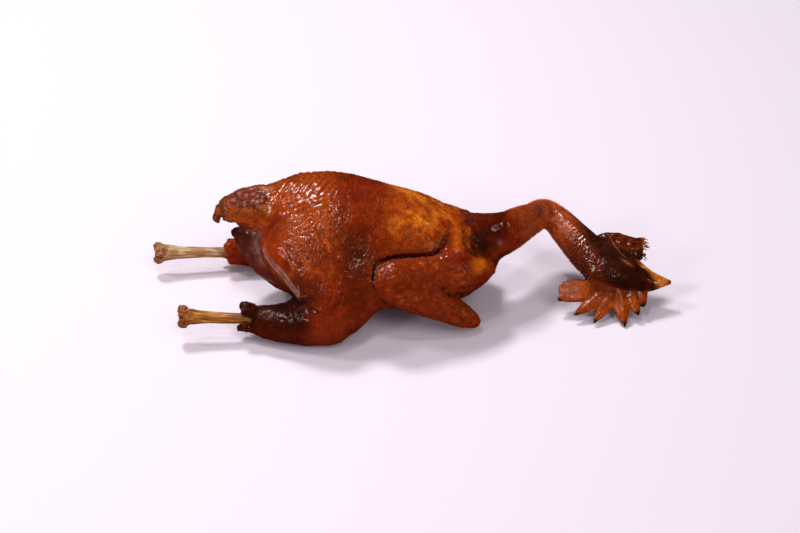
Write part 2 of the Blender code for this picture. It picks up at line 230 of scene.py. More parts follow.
def painter(count, palette, base):
    # a colour for each point, and a brush that lays another one over it
    tint = np.tile(np.array(palette[base]), (count, 1))

    def lay(name, mask):
        tint[:] = tint + (np.array(palette[name]) - tint) * np.clip(mask, 0, 1)[:, None]

    return tint, lay


# places taken over from the solid

neckLine = smoothPath([
    (36, -1, 55), (58, 0, 54.5), (76, 2, 55.5), (92, 14, 56.5), (107, 33, 54), (119, 50, 49.5),
    (128.5, 44, 45.5), (137, 29, 41), (147, 15, 36), (156.5, 6, 32), (166, 1, 29.5),
])
headPlace = {"centre": (180, -3, 28), "tilt": 33.4}
headTilt = math.radians(headPlace["tilt"])
headAxes = np.array([
    (1, 0, 0),
    (0, math.cos(headTilt), math.sin(headTilt)),
    (0, -math.sin(headTilt), math.cos(headTilt)),
])
legs = {
    "near": {"knee": (-52, -61, 23.5), "ankle": (-119, -55.5, 18.5), "boneEnd": (-171, -57, 22)},
    "far": {"knee": (-66, 53, 23.5), "ankle": (-140, 40, 15.5), "boneEnd": (-201.5, 33.5, 19.2)},
}


def headSpace(points):
    # along the head, towards the throat, out of the cheek
    return (points - np.array(headPlace["centre"])) @ headAxes.T


def fromHead(along, throat, cheek=0.0):
    return np.array(headPlace["centre"]) + np.array((along, throat, cheek)) @ headAxes


# the skin: two closed meshes that overlap at the root of the neck

skinBuild = {
    "cut": 84.0,  # the neck's mesh starts here
    "overlap": 2.0,
    "dive": 0.9,  # how deep each mesh goes under the other
    "bodyVoxel": 0.85,
    "neckVoxel": 0.5,
    "smoothing": 3,
    "triangles": 190000,
}
shoulder = {"along": (42, 68, 6), "above": (52, 62), "passes": 60, "least": 0.02}
# the darkest colours, laid in valleys, hollows, grooves and pits, are painted shade; one pink spot on the
# crust is a painted highlight
hues = {name: shown(*seen) for name, seen in {
    "base": (134, 40, 7), "golden": (226, 106, 20), "amber": (244, 144, 36), "russet": (104, 26, 5),
    "thighPeak": (144, 60, 22), "smoothThigh": (160, 54, 8), "valleyShade": (78, 22, 6),
    "drumstick": (46, 13, 5), "drumLow": (70, 15, 1), "rumpTop": (174, 70, 12), "cuffFar": (178, 54, 18),
    "hollowShade": (58, 26, 8), "neckRoot": (74, 17, 3), "neck": (160, 70, 30), "neckDark": (84, 30, 14),
    "neckPale": (150, 92, 78), "neckPlum": (84, 40, 34), "head": (44, 16, 9), "cheekSheen": (74, 32, 20),
    "beak": (228, 120, 38), "beakPale": (236, 156, 72), "beakTip": (84, 34, 16), "lid": (150, 72, 26),
    "comb": (158, 64, 3), "combEnd": (168, 98, 74), "combTip": (36, 13, 7), "throat": (98, 36, 12),
    "throatEnd": (196, 140, 78), "belly": (85, 31, 21), "bellyPale": (198, 150, 134),
    "tail": (156, 70, 26), "tailOrange": (204, 82, 14), "crust": (110, 48, 34),
    "crustPinkAndHighlight": (190, 120, 96), "crustRim": (212, 116, 46), "hook": (104, 56, 34), "wing": (136, 44, 9),
    "wingGold": (218, 108, 16), "creviceShade": (13, 4, 2), "darkFleckAndPitShade": (40, 14, 8),
}.items()}
mottling = {"patches": (14, 20), "flecks": (4.5, 21), "fine": (1.7, 22)}  # size and seed
relief = [
    # where, how far raised, height and size of its grain, seed
    ("calm", 0, 0.45, 15, 1),
    ("calm", 0, 0.22, 5.0, 2),
    ("calm", 0, 0.24, 3.0, 3),
    ("crater", -0.5, 1.5, 5.2, 7),
    ("crater", 0, 0.45, 2.2, 13),
    ("tail", 0, 0.75, 7.8, 8),
    ("hook", 0.4, 1.4, 3.2, 14),
    ("vent", 0.3, 2.2, 3.4, 19),
    ("comb", 0, 0.22, 1.7, 9),
    ("cuff", 0, 0.8, 3.0, 10),
    ("cuff", 0, 0.48, 1.5, 15),
    ("drum", 0, 0.55, 3.6, 16),
    ("drumTop", 0, 1.1, 2.8, 42),
    ("shoulderDent", 0, 0.8, 2.0, 18),
]
throatGrain = {"height": 0.9, "size": 2.6, "seed": 17, "sunk": 0.2, "stretch": (0.4, 1, 1)}
rump = {
    "middle": 1.0,
    "crest": 8.0,  # where the chevrons point
    "axisHeight": 75.0,
    "radius": 32.0,
    "topRow": (0.55, 4.9),  # height, distance between rows
    "flankRow": (0.42, 4.4),
    "chevron": (0.875, 0.485),  # slope along and across
    "flankSlope": 0.36,
    # level, height, size and seed of the grain that breaks and bends the rows
    "breaks": (0.75, 0.8, 3.4, 5),
    "topWaver": (0, 0.8, 9, 11),
    "flankWaver": (0, 0.8, 9, 12),
}
neckRings = {
    "height": 0.2, "pitch": 3.4, "faint": 0.1, "strong": 1.1, "reach": (7, 3), "breaks": (0.95, 0.5, 5, 6),
}
neckShine = [
    (121, 40, 58), (127.6, 32.2, 53.3), (134.7, 19, 50.4), (138.3, 13.6, 49.2), (151.5, 10.2, 49.6),
    (160, 10.5, 47.5),
]
cuffShape = {
    "tornEnd": ((-122, -55.5, 20), (24, 24, 24)),
    "recess": 7.0,
    "recessReach": {"up": (15, 25.5, 2), "aside": (-51, -57), "back": (-98, -122)},
    "lobe": 2.8,
    "lobePlace": ((-119, -55, 30), (13, 12, 9)),
}
gloss = {
    # along the drumstick's top, on both sides
    "drumShine": [(-106, -61, 28), (-92, -67, 29), (-76, -73, 32), (-63, -74.5, 37)],
    "shineReach": (6, 2.5),
    "chainReach": (4.4, 1.6),
    # places on both sides that mirror less: centre, radii, how much
    "dulled": [
        ((-94, 31, 88), (20, 18, 17), 1.7),
        ((54, 9, 74), (16, 20, 15), 1.2),
        ((73, 8, 62), (12, 14, 12), 0.6),
    ],
    "pebbledBack": ((-62, 36, 89), (28, 12, 10)),
}
patches = {
    # round areas, each as centres and radii
    "crater": [((-117, -5, 99), (26, 17, 14))],
    "vent": [((-127, 3, 63), (14, 14, 13))],
    "drumTop": bothSides((-63, 72.5, 37), (10, 7, 8)),
    "shoulderDent": [((36, -26, 73), (8, 8, 7))],
    "cheek": [((167, -16, 32), (8, 8, 10))],
    "thigh": [((-64, -44, 70), (46, 34, 52)), ((-68, 44, 70), (46, 34, 52))],
    "smooth": [*bothSides((-97, 40, 76), (15, 20, 20)), ((-101, -20, 86), (15, 20, 13))],
    "cuff": [(leg["ankle"], (20, 20, 20)) for leg in legs.values()],
}
regions = {
    # a part is where all of its ramps are: what is measured, where it begins, where it is full
    "blade": [("cheek", 8.5, 5.5), ("ahead", -64, -58), ("ahead", 19, 17)],
    "throat": [("under", 13.5, 17), ("ahead", -16, -8), ("inner", 13, 8)],
    "tail": [("x", -98, -108), ("z", 66, 74), ("side", 26, 20)],
    "belly": [("x", -80, -92), ("z", 74, 64), ("side", 38, 32), ("z", 16, 24)],
    "upperBack": [("x", -83, -92), ("z", 60, 68), ("side", 12, 18)],
    "wing": [("side", 40, 47), ("x", -28, -18), ("z", 80, 70)],
}
drumReach = {"away": (27, 21), "up": (60, 40)}
seams = {
    # lines that both the relief and the threads of skin follow
    "thighEdge": [
        (-103.7, -40.5, 72.7), (-98.9, -47.5, 66.5), (-93.4, -52.7, 62.6), (-88.8, -56.4, 58.7),
        (-83.5, -59.9, 52.9), (-79.1, -61.9, 46.8), (-77.7, -62.1, 44.1),
    ],
    "thighInner": [
        (-96.5, -49.2, 67.6), (-90.2, -54.5, 63.9), (-84.9, -59, 58.7), (-80.4, -61.9, 52.4),
        (-77.9, -62.6, 46),
    ],
    "bellyRim": [(-114.3, -9.8, 30.5), (-106.1, -15.4, 27.7), (-97.1, -20.6, 26.6), (-89.2, -16.8, 15)],
}
folds = {
    # half width, lift, colour and its share, where it is laid, corners
    "thighEdge": (2.2, 0.4, "bellyPale", 0.24, "both", seams["thighEdge"]),
    "thighInner": (1.5, 0.3, "bellyPale", 0.22, "both", seams["thighInner"]),
    "bellyRim": (1.1, 0.3, "bellyPale", 0.35, "both", seams["bellyRim"]),
    "bellyPalest": (4.5, 0.0, "bellyPale", 0.3, "one", [
        (-111, -12, 65.5), (-111.7, -15.9, 55.9), (-108, -19.3, 46.8)]),
    # the grooves and dents from here to the shoulder's dent are darkened with painted shade; the ridges keep
    # the skin's own gold
    "wingTop": (1.8, -1.1, "creviceShade", 1.0, "one", [
        (-20, -58, 57), (-19.8, -52.7, 60.8), (-18.2, -49, 65.6), (-12.2, -44.7, 66.8), (3.8, -40.9, 67),
        (19.2, -38.1, 65.5), (25.3, -36.1, 65.5), (30.7, -32.4, 67.2)]),
    "farWingTop": (2.2, -0.7, "creviceShade", 0.8, "one", [
        (-8, 43.5, 67), (3.8, 40.9, 67), (19.2, 38.1, 65.5), (25.3, 36.1, 65.5), (30.7, 32.4, 67.2)]),
    "wingElbow": (1.3, -0.6, "creviceShade", 0.7, "one", [(-20, -61, 54), (-17.5, -62.5, 46), (-11, -54, 33)]),
    "wingUnder": (0.9, -0.5, "darkFleckAndPitShade", 0.6, "both", [(7.6, -65, 37.7), (12.2, -64, 33.1), (18.4, -61.5, 26.6)]),
    "wingRoot": (1.9, -0.9, "creviceShade", 0.75, "both", [
        (33, -54, 46), (36.1, -52.6, 42), (40, -51.5, 37.5), (46, -46.3, 36)]),
    "wingFront": (1.1, -0.5, "darkFleckAndPitShade", 0.6, "both", [(47, -48, 44), (50.9, -46.5, 41), (56, -43, 40)]),
    "shoulderRidge": (3.0, 0.6, "golden", 0.4, "both", [
        (38.9, -4.4, 79.1), (42.7, -10.9, 76), (43.5, -23.4, 70.3), (44.6, -31.5, 66.6)]),
    "shoulderCrease": (1.2, -0.5, "creviceShade", 0.6, "both", [
        (48.4, -8, 75), (49.2, -17, 71), (49.8, -25, 67.5)]),
    "frontRidge": (1.8, 0.3, "golden", 0.45, "both", [(53.4, -12, 72.5), (53.8, -18, 69.5), (54, -26, 66)]),
    "frontCrease": (1.6, -0.5, "creviceShade", 0.5, "both", [(58.2, -10, 72), (58.8, -14, 69), (59.5, -20, 62)]),
    "shoulderDent": (3.0, -0.5, "darkFleckAndPitShade", 0.6, "both", [(33.5, -29, 71), (36.5, -24, 74)]),
    "drumRidge": (3.2, 0.7, "drumstick", 0.4, "both", [
        (-112, -60, 29.5), (-95, -66, 32.5), (-78, -71, 36.5), (-62, -73, 40)]),
    "drumLump": (5.0, 1.3, "drumstick", 0.1, "both", [(-65, -73.5, 37), (-60.5, -74, 38)]),
    # creases along the torn throat, in the head's own places; the head's dark colour laid in them is painted
    # shade
    "throatUpper": (1.0, -0.7, "head", 0.75, "head", [(-20, 22, 0), (-6, 20, 1), (4, 20, 1), (14, 20.5, 1)]),
    "throatLower": (0.9, -0.5, "head", 0.6, "head", [(-12, 27.5, 0), (0, 24.5, 1), (14, 24.5, 1)]),
}
combShape = {
    "round": 3.6,  # how far in from its edge the blade is rounded
    "rimShare": 0.25,
    "outline": [
        (-22, -10), (-40, -8.5), (-50, -10), (-54, -15), (-53, -21), (-55, -26.5),
        (-34, -27), (-43.5, -39.5), (-23, -32), (-28, -46), (-11, -31.5), (-3, -49),
        (1.5, -31), (8.6, -39.8), (9.5, -28.5), (13.6, -32.3), (16.5, -18), (10, -8),
    ],
    # the middle of each point, root to tip
    "spines": [
        ((-26, -17), (-54, -20)), ((-19, -20), (-43.5, -39.5)), ((-13, -21), (-28, -46)),
        ((-5, -20), (-3, -49)), ((4, -18), (8.6, -39.8)), ((11, -17), (13.6, -32.3)),
    ],
    "spineHeight": 1.1,
    "spineWidth": 2.2,
    "between": 0.3,  # what the blade loses between two spines
    "bulge": 0.9,
    "bulgeReach": 4,
    "free": (-16, -22),  # from here to here it leaves the skull
    "skull": ((-60, -34, -22, 0, 12, 20), (-9, -9.5, -12, -18.5, -18.5, -16.5)),
    "lobeTip": (-55, -26.5),
}
face = {
    "rimWidth": 0.32,
    "slitWidth": 0.45,
    "eye": {"middle": (-0.7, 1.1), "along": (9.1, -5.6), "halfLength": 4.9, "halfWidth": 1.0, "lift": 0.45,
            "hue": "lid", "share": 0.85, "darkFleckAndPitShade": 0.1},
    "nostril": {"middle": (17.4, -12.4), "along": (9, -4), "halfLength": 1.7, "halfWidth": 0.8, "lift": 0.35,
                "hue": "beak", "share": 0.6, "darkFleckAndPitShade": 0.8},
    "mouth": {"at": [(9, 0.5), (17, -4.6), (26, -8.8), (34, -10.9)], "width": 0.55, "lift": -0.45},
    "beakEdge": ((2, 11, 19, 28, 37), (11, 2.8, -1.6, -5.2, -8.8)),
}


def combEdge(flat):
    # distance to the outline, the share along its nearest edge, and that edge's outward side
    corners = np.array(combShape["outline"], float)
    closed = np.vstack([corners, corners[:1]])
    gap, piece, share = nearestOn(flat, closed)
    steps = np.diff(closed, axis=0)
    area = (closed[:-1, 0] * closed[1:, 1] - closed[1:, 0] * closed[:-1, 1]).sum()
    outward = np.c_[-steps[:, 1], steps[:, 0]] / np.linalg.norm(steps, axis=1)[:, None]
    return gap, share, (outward * -math.copysign(1, area))[piece]


def roundComb(points, masks, head):
    # fingers with curved sides, thin at the rim and swollen over the middle of each point
    on = masks["comb"] > 0.02
    flat, n = head[on][:, :2], head[on][:, 2]
    gap, share, outward = combEdge(flat)
    inner = np.clip(gap / combShape["round"], 0, 1)
    profile = combShape["rimShare"] + (1 - combShape["rimShare"]) * np.sqrt(1 - (1 - inner) ** 2)
    free = ramp(*combShape["free"], flat[:, 1])
    swell = combShape["spineHeight"] * (masks["spine"][on] - combShape["between"]) * inner * free
    swollen = n * (1 + (profile - 1) * free) + np.sign(n) * swell
    blend = masks["comb"][on]
    bulge = combShape["bulge"] * np.sin(math.pi * share) * ramp(combShape["bulgeReach"], 0, gap)
    bulge *= free * blend
    shift = ((swollen - n) * blend)[:, None] * headAxes[2] + (bulge[:, None] * outward) @ headAxes[:2]
    points[on] += shift


def rumpRows(points, masks):
    # feather rows over the rump: chevrons on top, long rows down the side, plump with sharp creases
    x, y, _ = points.T
    breaks = cloud(points, *rump["breaks"])
    along, across = rump["chevron"]
    chevron = along * x + across * np.abs(y - rump["crest"]) + cloud(points, *rump["topWaver"])
    down = masks["girth"] + rump["flankSlope"] * x + cloud(points, *rump["flankWaver"])
    lift = 0
    for where, row, place in (("topRows", "topRow", chevron), ("flankRows", "flankRow", down)):
        height, pitch = rump[row]
        lift = lift + height * masks[where] * breaks * (2 * np.abs(np.sin(math.pi * place / pitch)) - 1)
    return lift


def regionMasks(points):
    # 1 inside each part of the bird, 0 outside it; along and girth are distances, rows is a lift
    x, y, z = points.T
    head = headSpace(points)
    s, t, n = head.T
    gap, along = alongPath(points, neckLine)
    masks = {
        name: np.maximum.reduce([blob(points, *spot) for spot in spots]) for name, spots in patches.items()
    }
    measures = {
        "x": x, "z": z, "side": np.abs(y), "ahead": s, "under": t, "cheek": np.abs(n), "inner": np.abs(n - 1),
    }
    for name, sides in regions.items():
        masks[name] = math.prod(ramp(low, high, measures[axis]) for axis, low, high in sides)
    masks["along"] = along
    masks["comb"] = ramp(0, -2.5, t - np.interp(s, *combShape["skull"])) * masks["blade"]
    clear = (1 - masks["throat"]) * (1 - masks["comb"])
    masks["head"] = ramp(-30, -16, s + 0.35 * t) * ramp(-24, -18, t + 0.3 * s * (s < 0)) * clear
    onNeck = ramp(30, 22, gap) * (x > 50) * (along > 12)
    masks["neck"] = onNeck * ramp(14, 34, along) * (1 - masks["head"]) * (1 - masks["comb"])
    masks["neck"] *= (1 - ramp(172, 182, x)) * (1 - masks["throat"])
    upper = ramp(4.2, 2.2, np.interp(s, *face["beakEdge"]) - t) * ramp(6, 14, s)
    masks["beak"] = np.maximum(upper, ramp(18, 27, s + 0.5 * (t + 11))) * clear * (t < 7)
    masks["hook"] = ramp(-130, -137, x) * masks["tail"]
    turn = np.arctan2(np.abs(y - rump["middle"]), z - rump["axisHeight"])
    masks["girth"] = np.where(z > rump["axisHeight"] - 10, turn * rump["radius"], 60)
    masks["topRows"] = band(-94, -48, 9, x) * ramp(26, 19, np.abs(y - rump["crest"])) * (z > 80)
    masks["flankRows"] = band(-88, -54, 9, x) * band(15, 28, 3.5, masks["girth"]) * (z > 70)
    masks["drum"] = np.zeros(len(points))
    for leg in legs.values():
        away, up = alongPath(points, (leg["ankle"], leg["knee"]))
        reach = ramp(*drumReach["away"], away) * ramp(*drumReach["up"], up)
        masks["drum"] = np.maximum(masks["drum"], reach)
    masks["smooth"] = np.maximum(masks["smooth"], masks["upperBack"] * (1 - masks["tail"]))
    masks["wing"] *= x < 72
    away = np.minimum.reduce([alongPath(head[:, :2], spine)[0] for spine in combShape["spines"]])
    masks["spine"] = np.exp(-((away / combShape["spineWidth"]) ** 2))
    masks["rows"] = rumpRows(points, masks)
    return masks, head


def strokesOn(points):
    # each fold's mask, lift, colour and share; the head's are measured on the cheek, its depth counts little
    spaces = {
        "one": [points], "both": [points, points * (1, -1, 1)], "head": [headSpace(points) * (1, 1, 0.35)],
    }
    found = []
    for width, lift, hue, share, where, corners in folds.values():
        path = smoothPath(corners)
        gap = np.minimum.reduce([alongPath(space, path)[0] for space in spaces[where]])
        found.append((np.exp(-((gap / width) ** 2)), lift, hue, share))
    return found


def ovalPlace(head, part):
    # 0 in the middle of an oval on the cheek, 1 on its edge, and the distance across it
    ahead = np.array(part["along"], float)
    ahead /= np.linalg.norm(ahead)
    flat = head[:, :2] - np.array(part["middle"])
    across = flat @ np.array((-ahead[1], ahead[0]))
    return np.hypot(flat @ ahead / part["halfLength"], across / part["halfWidth"]), across


def skinRelief(points, masks, head, strokes):
    masks["calm"] = 1 - 0.6 * masks["head"] - 0.5 * masks["beak"] * masks["head"] - 0.8 * masks["comb"]
    lift = masks["rows"].copy()
    for where, *swells in relief:
        lift += masks[where] * cloud(points, *swells)
    torn = grain(points * throatGrain["stretch"], throatGrain["size"], throatGrain["seed"])
    lift += masks["throat"] * (throatGrain["height"] * torn - throatGrain["sunk"])

    # rings down the neck, strong where it shines
    ring = np.cos(2 * math.pi * masks["along"] / neckRings["pitch"])
    gap, _ = alongPath(points, neckShine)
    strength = neckRings["faint"] + neckRings["strong"] * ramp(*neckRings["reach"], gap)
    lift += neckRings["height"] * masks["neck"] * strength * ring * cloud(points, *neckRings["breaks"])
    for mask, raised, _, _ in strokes:
        lift += raised * mask

    # closed eye, nostril and the line of the mouth, on both cheeks
    for name in ("eye", "nostril"):
        reach, across = ovalPlace(head, face[name])
        rim = np.exp(-(((reach - 1) / face["rimWidth"]) ** 2))
        slit = np.exp(-((across / face["slitWidth"]) ** 2)) * (reach < 1.1)
        slit = slit if name == "eye" else ramp(0.9, 0.3, reach)
        lift += face[name]["lift"] * (rim - slit) * (masks["head"] > 0.3)
    mouth = face["mouth"]
    gap, _ = alongPath(head[:, :2], mouth["at"])
    lift += mouth["lift"] * np.exp(-((gap / mouth["width"]) ** 2)) * (np.abs(head[:, 2]) > 0.6)
    return lift


def tintSkin(points, masks, head, strokes):
    x, y, z = points.T
    s, t, _ = head.T
    along = masks["along"]
    tint, lay = painter(len(points), hues, "base")
    patchy, flecks, fine = (grain(points, *mottling[name]) for name in ("patches", "flecks", "fine"))

    def laySpots(name, spots, mask):
        for spot in spots:
            lay(name, blob(points, *spot) * mask)

    # back and thighs
    lay("russet", ramp(-0.05, 0.5, patchy) * 0.6)
    back = band(-6, 46, 14, x) * ramp(66, 88, z)
    lay("golden", back * (0.48 + 0.5 * patchy + 0.5 * flecks))
    lay("amber", back * band(-14, 36, 12, x) * ramp(-0.2, 0.6, 0.5 * flecks + 0.8 * patchy) * 0.55)
    lay("rumpTop", band(-100, -52, 8, x) * ramp(76, 92, z) * 0.8)
    lay("thighPeak", masks["thigh"] * (0.5 + 0.5 * flecks + 0.3 * fine) * 0.9)
    # painted shade: the thigh darker towards its underside
    lay("russet", masks["thigh"] * ramp(74, 50, z) * 0.85)
    laySpots("russet", [((-98, -26, 90), (18, 16, 16))], 0.7)
    lay("golden", masks["thigh"] * ramp(0.22, 0.5, grain(points * (1, 1, 0.7), 5, 26)) * 0.55)
    # painted shade in the troughs between the rump's rows and in the dip between thigh and wing
    lay("valleyShade", ramp(-0.05, -0.3, masks["rows"]) * 0.6)
    laySpots("valleyShade", bothSides((-32, 46, 62), (20, 28, 56)), 1.0)
    lay("smoothThigh", masks["smooth"] * (0.75 + 0.4 * flecks))
    laySpots("russet", bothSides((-95, 28, 87), (18, 17, 17)), 1.1 + 0.6 * flecks)
    # painted shade under the thighs
    laySpots("valleyShade", bothSides((-74, 63, 50), (30, 22, 20)), 0.8 + 0.6 * flecks)
    # drumsticks and wings
    lay("drumLow", masks["drum"] * 0.9)
    lay("drumstick", masks["drum"] * ramp(14, 30, z) * ramp(-38, -80, x))
    lay("drumstick", masks["cuff"] * (y < 0) * 0.5)
    lay("wing", masks["wing"] * 0.85)
    streaks = grain(points * (0.35, 1, 1), 2.4, 41)
    lay("russet", masks["wing"] * ramp(0.1, 0.6, -streaks) * 0.45)
    lay("wingGold", masks["wing"] * ramp(0.1, 0.55, streaks) * ramp(-0.3, 0.4, patchy) * 0.35)
    laySpots("wingGold", bothSides((62, 37, 57), (12, 14, 10)), 1.4 + flecks)
    laySpots("golden", bothSides((46, 20, 72), (10, 22, 12)), 0.5)
    # belly skin between the legs
    lay("belly", masks["belly"])
    lay("base", masks["belly"] * ramp(60, 38, z) * 0.75)
    lay("bellyPale", masks["belly"] * ramp(0.1, 0.6, grain(points * (1, 1, 0.45), 4, 23)) * 0.15)
    lay("cuffFar", masks["cuff"] * (y > 0) * 1.3)
    # tail, its crust and the vent under it
    # painted shade in the vent under the tail
    laySpots("darkFleckAndPitShade", [((-127, 5, 65.5), (17, 12, 9))], 1.3)
    lay("tail", masks["tail"] * 0.8)
    lay("tailOrange", masks["tail"] * ramp(90, 82, z) * (0.8 + flecks))
    lay("crustRim", np.clip(masks["crater"] * 2.5, 0, 1) * ramp(-0.2, 0.3, flecks + 0.012 * (x + 112)))
    crust = ramp(0.12, 0.4, masks["crater"] + 0.3 * flecks)
    lay("crust", crust)
    # dark flecks of the crust's own
    lay("darkFleckAndPitShade", crust * ramp(0.15, 0.5, grain(points, 2.8, 24)) * 0.7)
    lay("crustPinkAndHighlight", crust * ramp(0.15, 0.45, grain(points, 3.4, 25)) * 0.6)
    # painted highlight: a pale pink spot on top of the crust
    laySpots("crustPinkAndHighlight", [((-103, 2, 103), (8, 9, 6))], 0.9)
    laySpots("crustRim", [((-100, -14, 92), (9, 8, 5))], 0.8)
    lay("hook", masks["hook"] * (0.8 + fine))
    # neck: red brown at its root, gold at the bend, dark at the head
    lay("neckRoot", band(49, 84, 5, x) * ramp(54, 62, z) * (np.abs(y) < 34) * (0.85 + 0.6 * flecks))
    lay("neck", masks["neck"] * band(58, 146, 10, along) * (0.85 + 0.6 * flecks))
    # painted shade in the hollow between the neck's root and the shoulder
    laySpots("hollowShade", bothSides((66, 15, 60), (18, 14, 18)), 1.1 + 1.2 * flecks)
    laySpots("neckPale", [((78, -12, 58), (9, 9, 8))], ramp(-0.2, 0.4, flecks) * 0.7)
    laySpots("neckPlum", [((109, 28, 64), (12, 14, 8))], 0.8)
    lay("neckDark", masks["neck"] * ramp(132, 164, along) * 0.95)
    lay("neckDark", masks["neck"] * ramp(50, 38, z) * (along < 96) * 0.9)
    # head, torn throat and comb
    lay("head", masks["head"] * (1.05 + 0.3 * flecks))
    lay("cheekSheen", masks["head"] * ramp(0.0, 0.5, patchy + fine) * 0.5)
    lay("throat", masks["throat"] * (0.9 + flecks))
    lay("head", masks["throat"] * ramp(0.1, 0.5, flecks) * 0.5)
    lay("throatEnd", masks["throat"] * ramp(14.5, 18, s + 3 * fine) * 0.8)
    lay("comb", masks["comb"] * 1.2)
    lay("russet", masks["comb"] * ramp(0.1, 0.6, flecks + patchy) * 0.5)
    # painted shade: the throat's dark colour at the comb's root under the head and in the grooves between its
    # points
    lay("throat", masks["comb"] * ramp(-26, -18, t) * (s > -30) * 0.8)
    lay("throat", masks["comb"] * (1 - masks["spine"]) * ramp(-30, -24, t) * (s > -32) * 0.5)
    lay("combEnd", masks["comb"] * ramp(-30, -46, s) * ramp(-28, -22, t) * (0.7 + 0.8 * fine))
    tips = ramp(4, 1.5, np.hypot(s - combShape["lobeTip"][0], t - combShape["lobeTip"][1]))
    for _, tip in combShape["spines"][1:]:
        tips = np.maximum(tips, ramp(6.5, 2.5, np.hypot(s - tip[0], t - tip[1])))
    lay("combTip", masks["comb"] * tips)
    # beak, eye and nostril
    beak = masks["beak"] * (s > 4)
    lay("beak", beak * (0.85 + 0.8 * flecks))
    lay("beakPale", beak * ramp(0.0, 0.5, fine) * 0.5)
    lay("beakTip", ramp(32.5, 35, s) * (s > 30))
    onCheek = (masks["head"] > 0.3) * 1.0
    # each oval gets a rim of its own colour and a dark middle, painted shade in the nostril and in the closed
    # eye's slit
    for part in (face["eye"], face["nostril"]):
        reach, _ = ovalPlace(head, part)
        lay(part["hue"], np.exp(-(((reach - 0.9) / 0.35) ** 2)) * onCheek * part["share"] * (0.9 + flecks))
        lay("darkFleckAndPitShade", ramp(0.75, 0.3, reach) * onCheek * part["darkFleckAndPitShade"])
    # each fold lays its colour: painted shade in the grooves and dents, the skin's own colours on ridges and
    # threads
    for mask, _, hue, share in strokes:
        lay(hue, mask * share * (1.0 + 0.8 * flecks * (share < 1)))
    return tint


def skinValues(points, masks, head, dive):
    # what the glaze and the scattered lumps read at each point
    x, y, z = points.T
    drum = masks["drum"]
    gap = np.minimum.reduce([alongPath(points * (1, side, 1), gloss["drumShine"])[0] for side in (1, -1)])
    shine, chain = ramp(*gloss["shineReach"], gap), ramp(*gloss["chainReach"], gap)
    dryness = np.clip(0.8 * masks["crater"] + 0.3 * masks["tail"] + 0.5 * masks["belly"], 0, 1)
    dryness += 1.05 * drum * (1 - chain) * (1 - 0.5 * masks["cuff"]) + 0.3 * masks["comb"]
    dryness += 0.4 * masks["thigh"] * ramp(74, 50, z)
    for centre, radii, amount in gloss["dulled"]:
        dryness += amount * sum(blob(points, *spot) for spot in bothSides(centre, radii))
    bare = masks["neck"] + masks["head"] + masks["crater"] * 2 + masks["throat"] + masks["comb"]
    bare = np.clip(np.clip(bare, 0, 1) + masks["belly"] + masks["smooth"] * 1.5 + np.clip(dive, 0, 1), 0, 1)
    overRump = band(-100, -44, 8, x) * ramp(70, 82, z)
    rough = np.clip(0.25 + masks["thigh"] * 0.6 + overRump * 0.5, 0, 1) * (1 - 0.1 * masks["wing"])
    rear = ramp(-18, -30, x) * (1 - drum)
    plain = 1 - np.clip(masks["topRows"] + masks["flankRows"], 0, 1)
    pebbly = (1 - bare) * (0.35 + 0.65 * rough) * plain - 0.12 * (1 - plain)
    pebbly += 0.45 * drum * (0.15 + 0.85 * chain) * (1 - 0.7 * shine)
    pebbly += 2.2 * masks["cheek"] + 0.2 * masks["head"] * (head[:, 0] < -2)
    pebbly += 0.8 * sum(blob(points, *spot) for spot in bothSides(*gloss["pebbledBack"]))
    return {
        "dryness": np.clip(dryness, 0, 1),
        "pebbly": pebbly,
        "rearPimples": (1 - bare) * (0.3 + 0.7 * rough) * rear * plain,
        "frontPimples": (1 - bare) * ramp(-30, -18, x) * (1 - 0.2 * masks["wing"]),
        "legPimples": (1 - bare) * drum * (1 - 0.8 * shine),
        "pimpleSize": 0.6 + 0.45 * rough + 0.5 * masks["cuff"] * (y < 0),
        "beads": np.clip(masks["comb"] * (0.5 + ramp(-26, -40, head[:, 0])) + masks["cheek"] * 1.2, 0, 1),
        "crumbs": np.clip(masks["crater"] * 0.9, 0, 1),
    }


def easeShoulder(skin):
    # the trunk's front runs into the neck without a collar
    x, _, z = pointsOf(skin.data).T
    weights = band(*shoulder["along"], x) * ramp(*shoulder["above"], z)
    group = skin.vertex_groups.new(name="shoulder")
    for k in np.nonzero(weights > shoulder["least"])[0].tolist():
        group.add([k], weights[k], "REPLACE")
    modify(skin, "Ease", "SMOOTH", factor=0.5, iterations=shoulder["passes"], vertex_group=group.name)
    settle(skin)
    skin.vertex_groups.clear()


def shapeCuff(points):
    # the nearer drumstick's torn end: a lobe over the bone, and below it the skin stops short
    x, y, z = points.T
    reach = cuffShape["recessReach"]
    low = band(*reach["up"], z) * ramp(*reach["aside"], y) * ramp(*reach["back"], x)
    low *= blob(points, *cuffShape["tornEnd"]) > 0
    high = blob(points, *cuffShape["lobePlace"])
    points[:, 0] += cuffShape["recess"] * low
    points[:, 2] += cuffShape["lobe"] * high


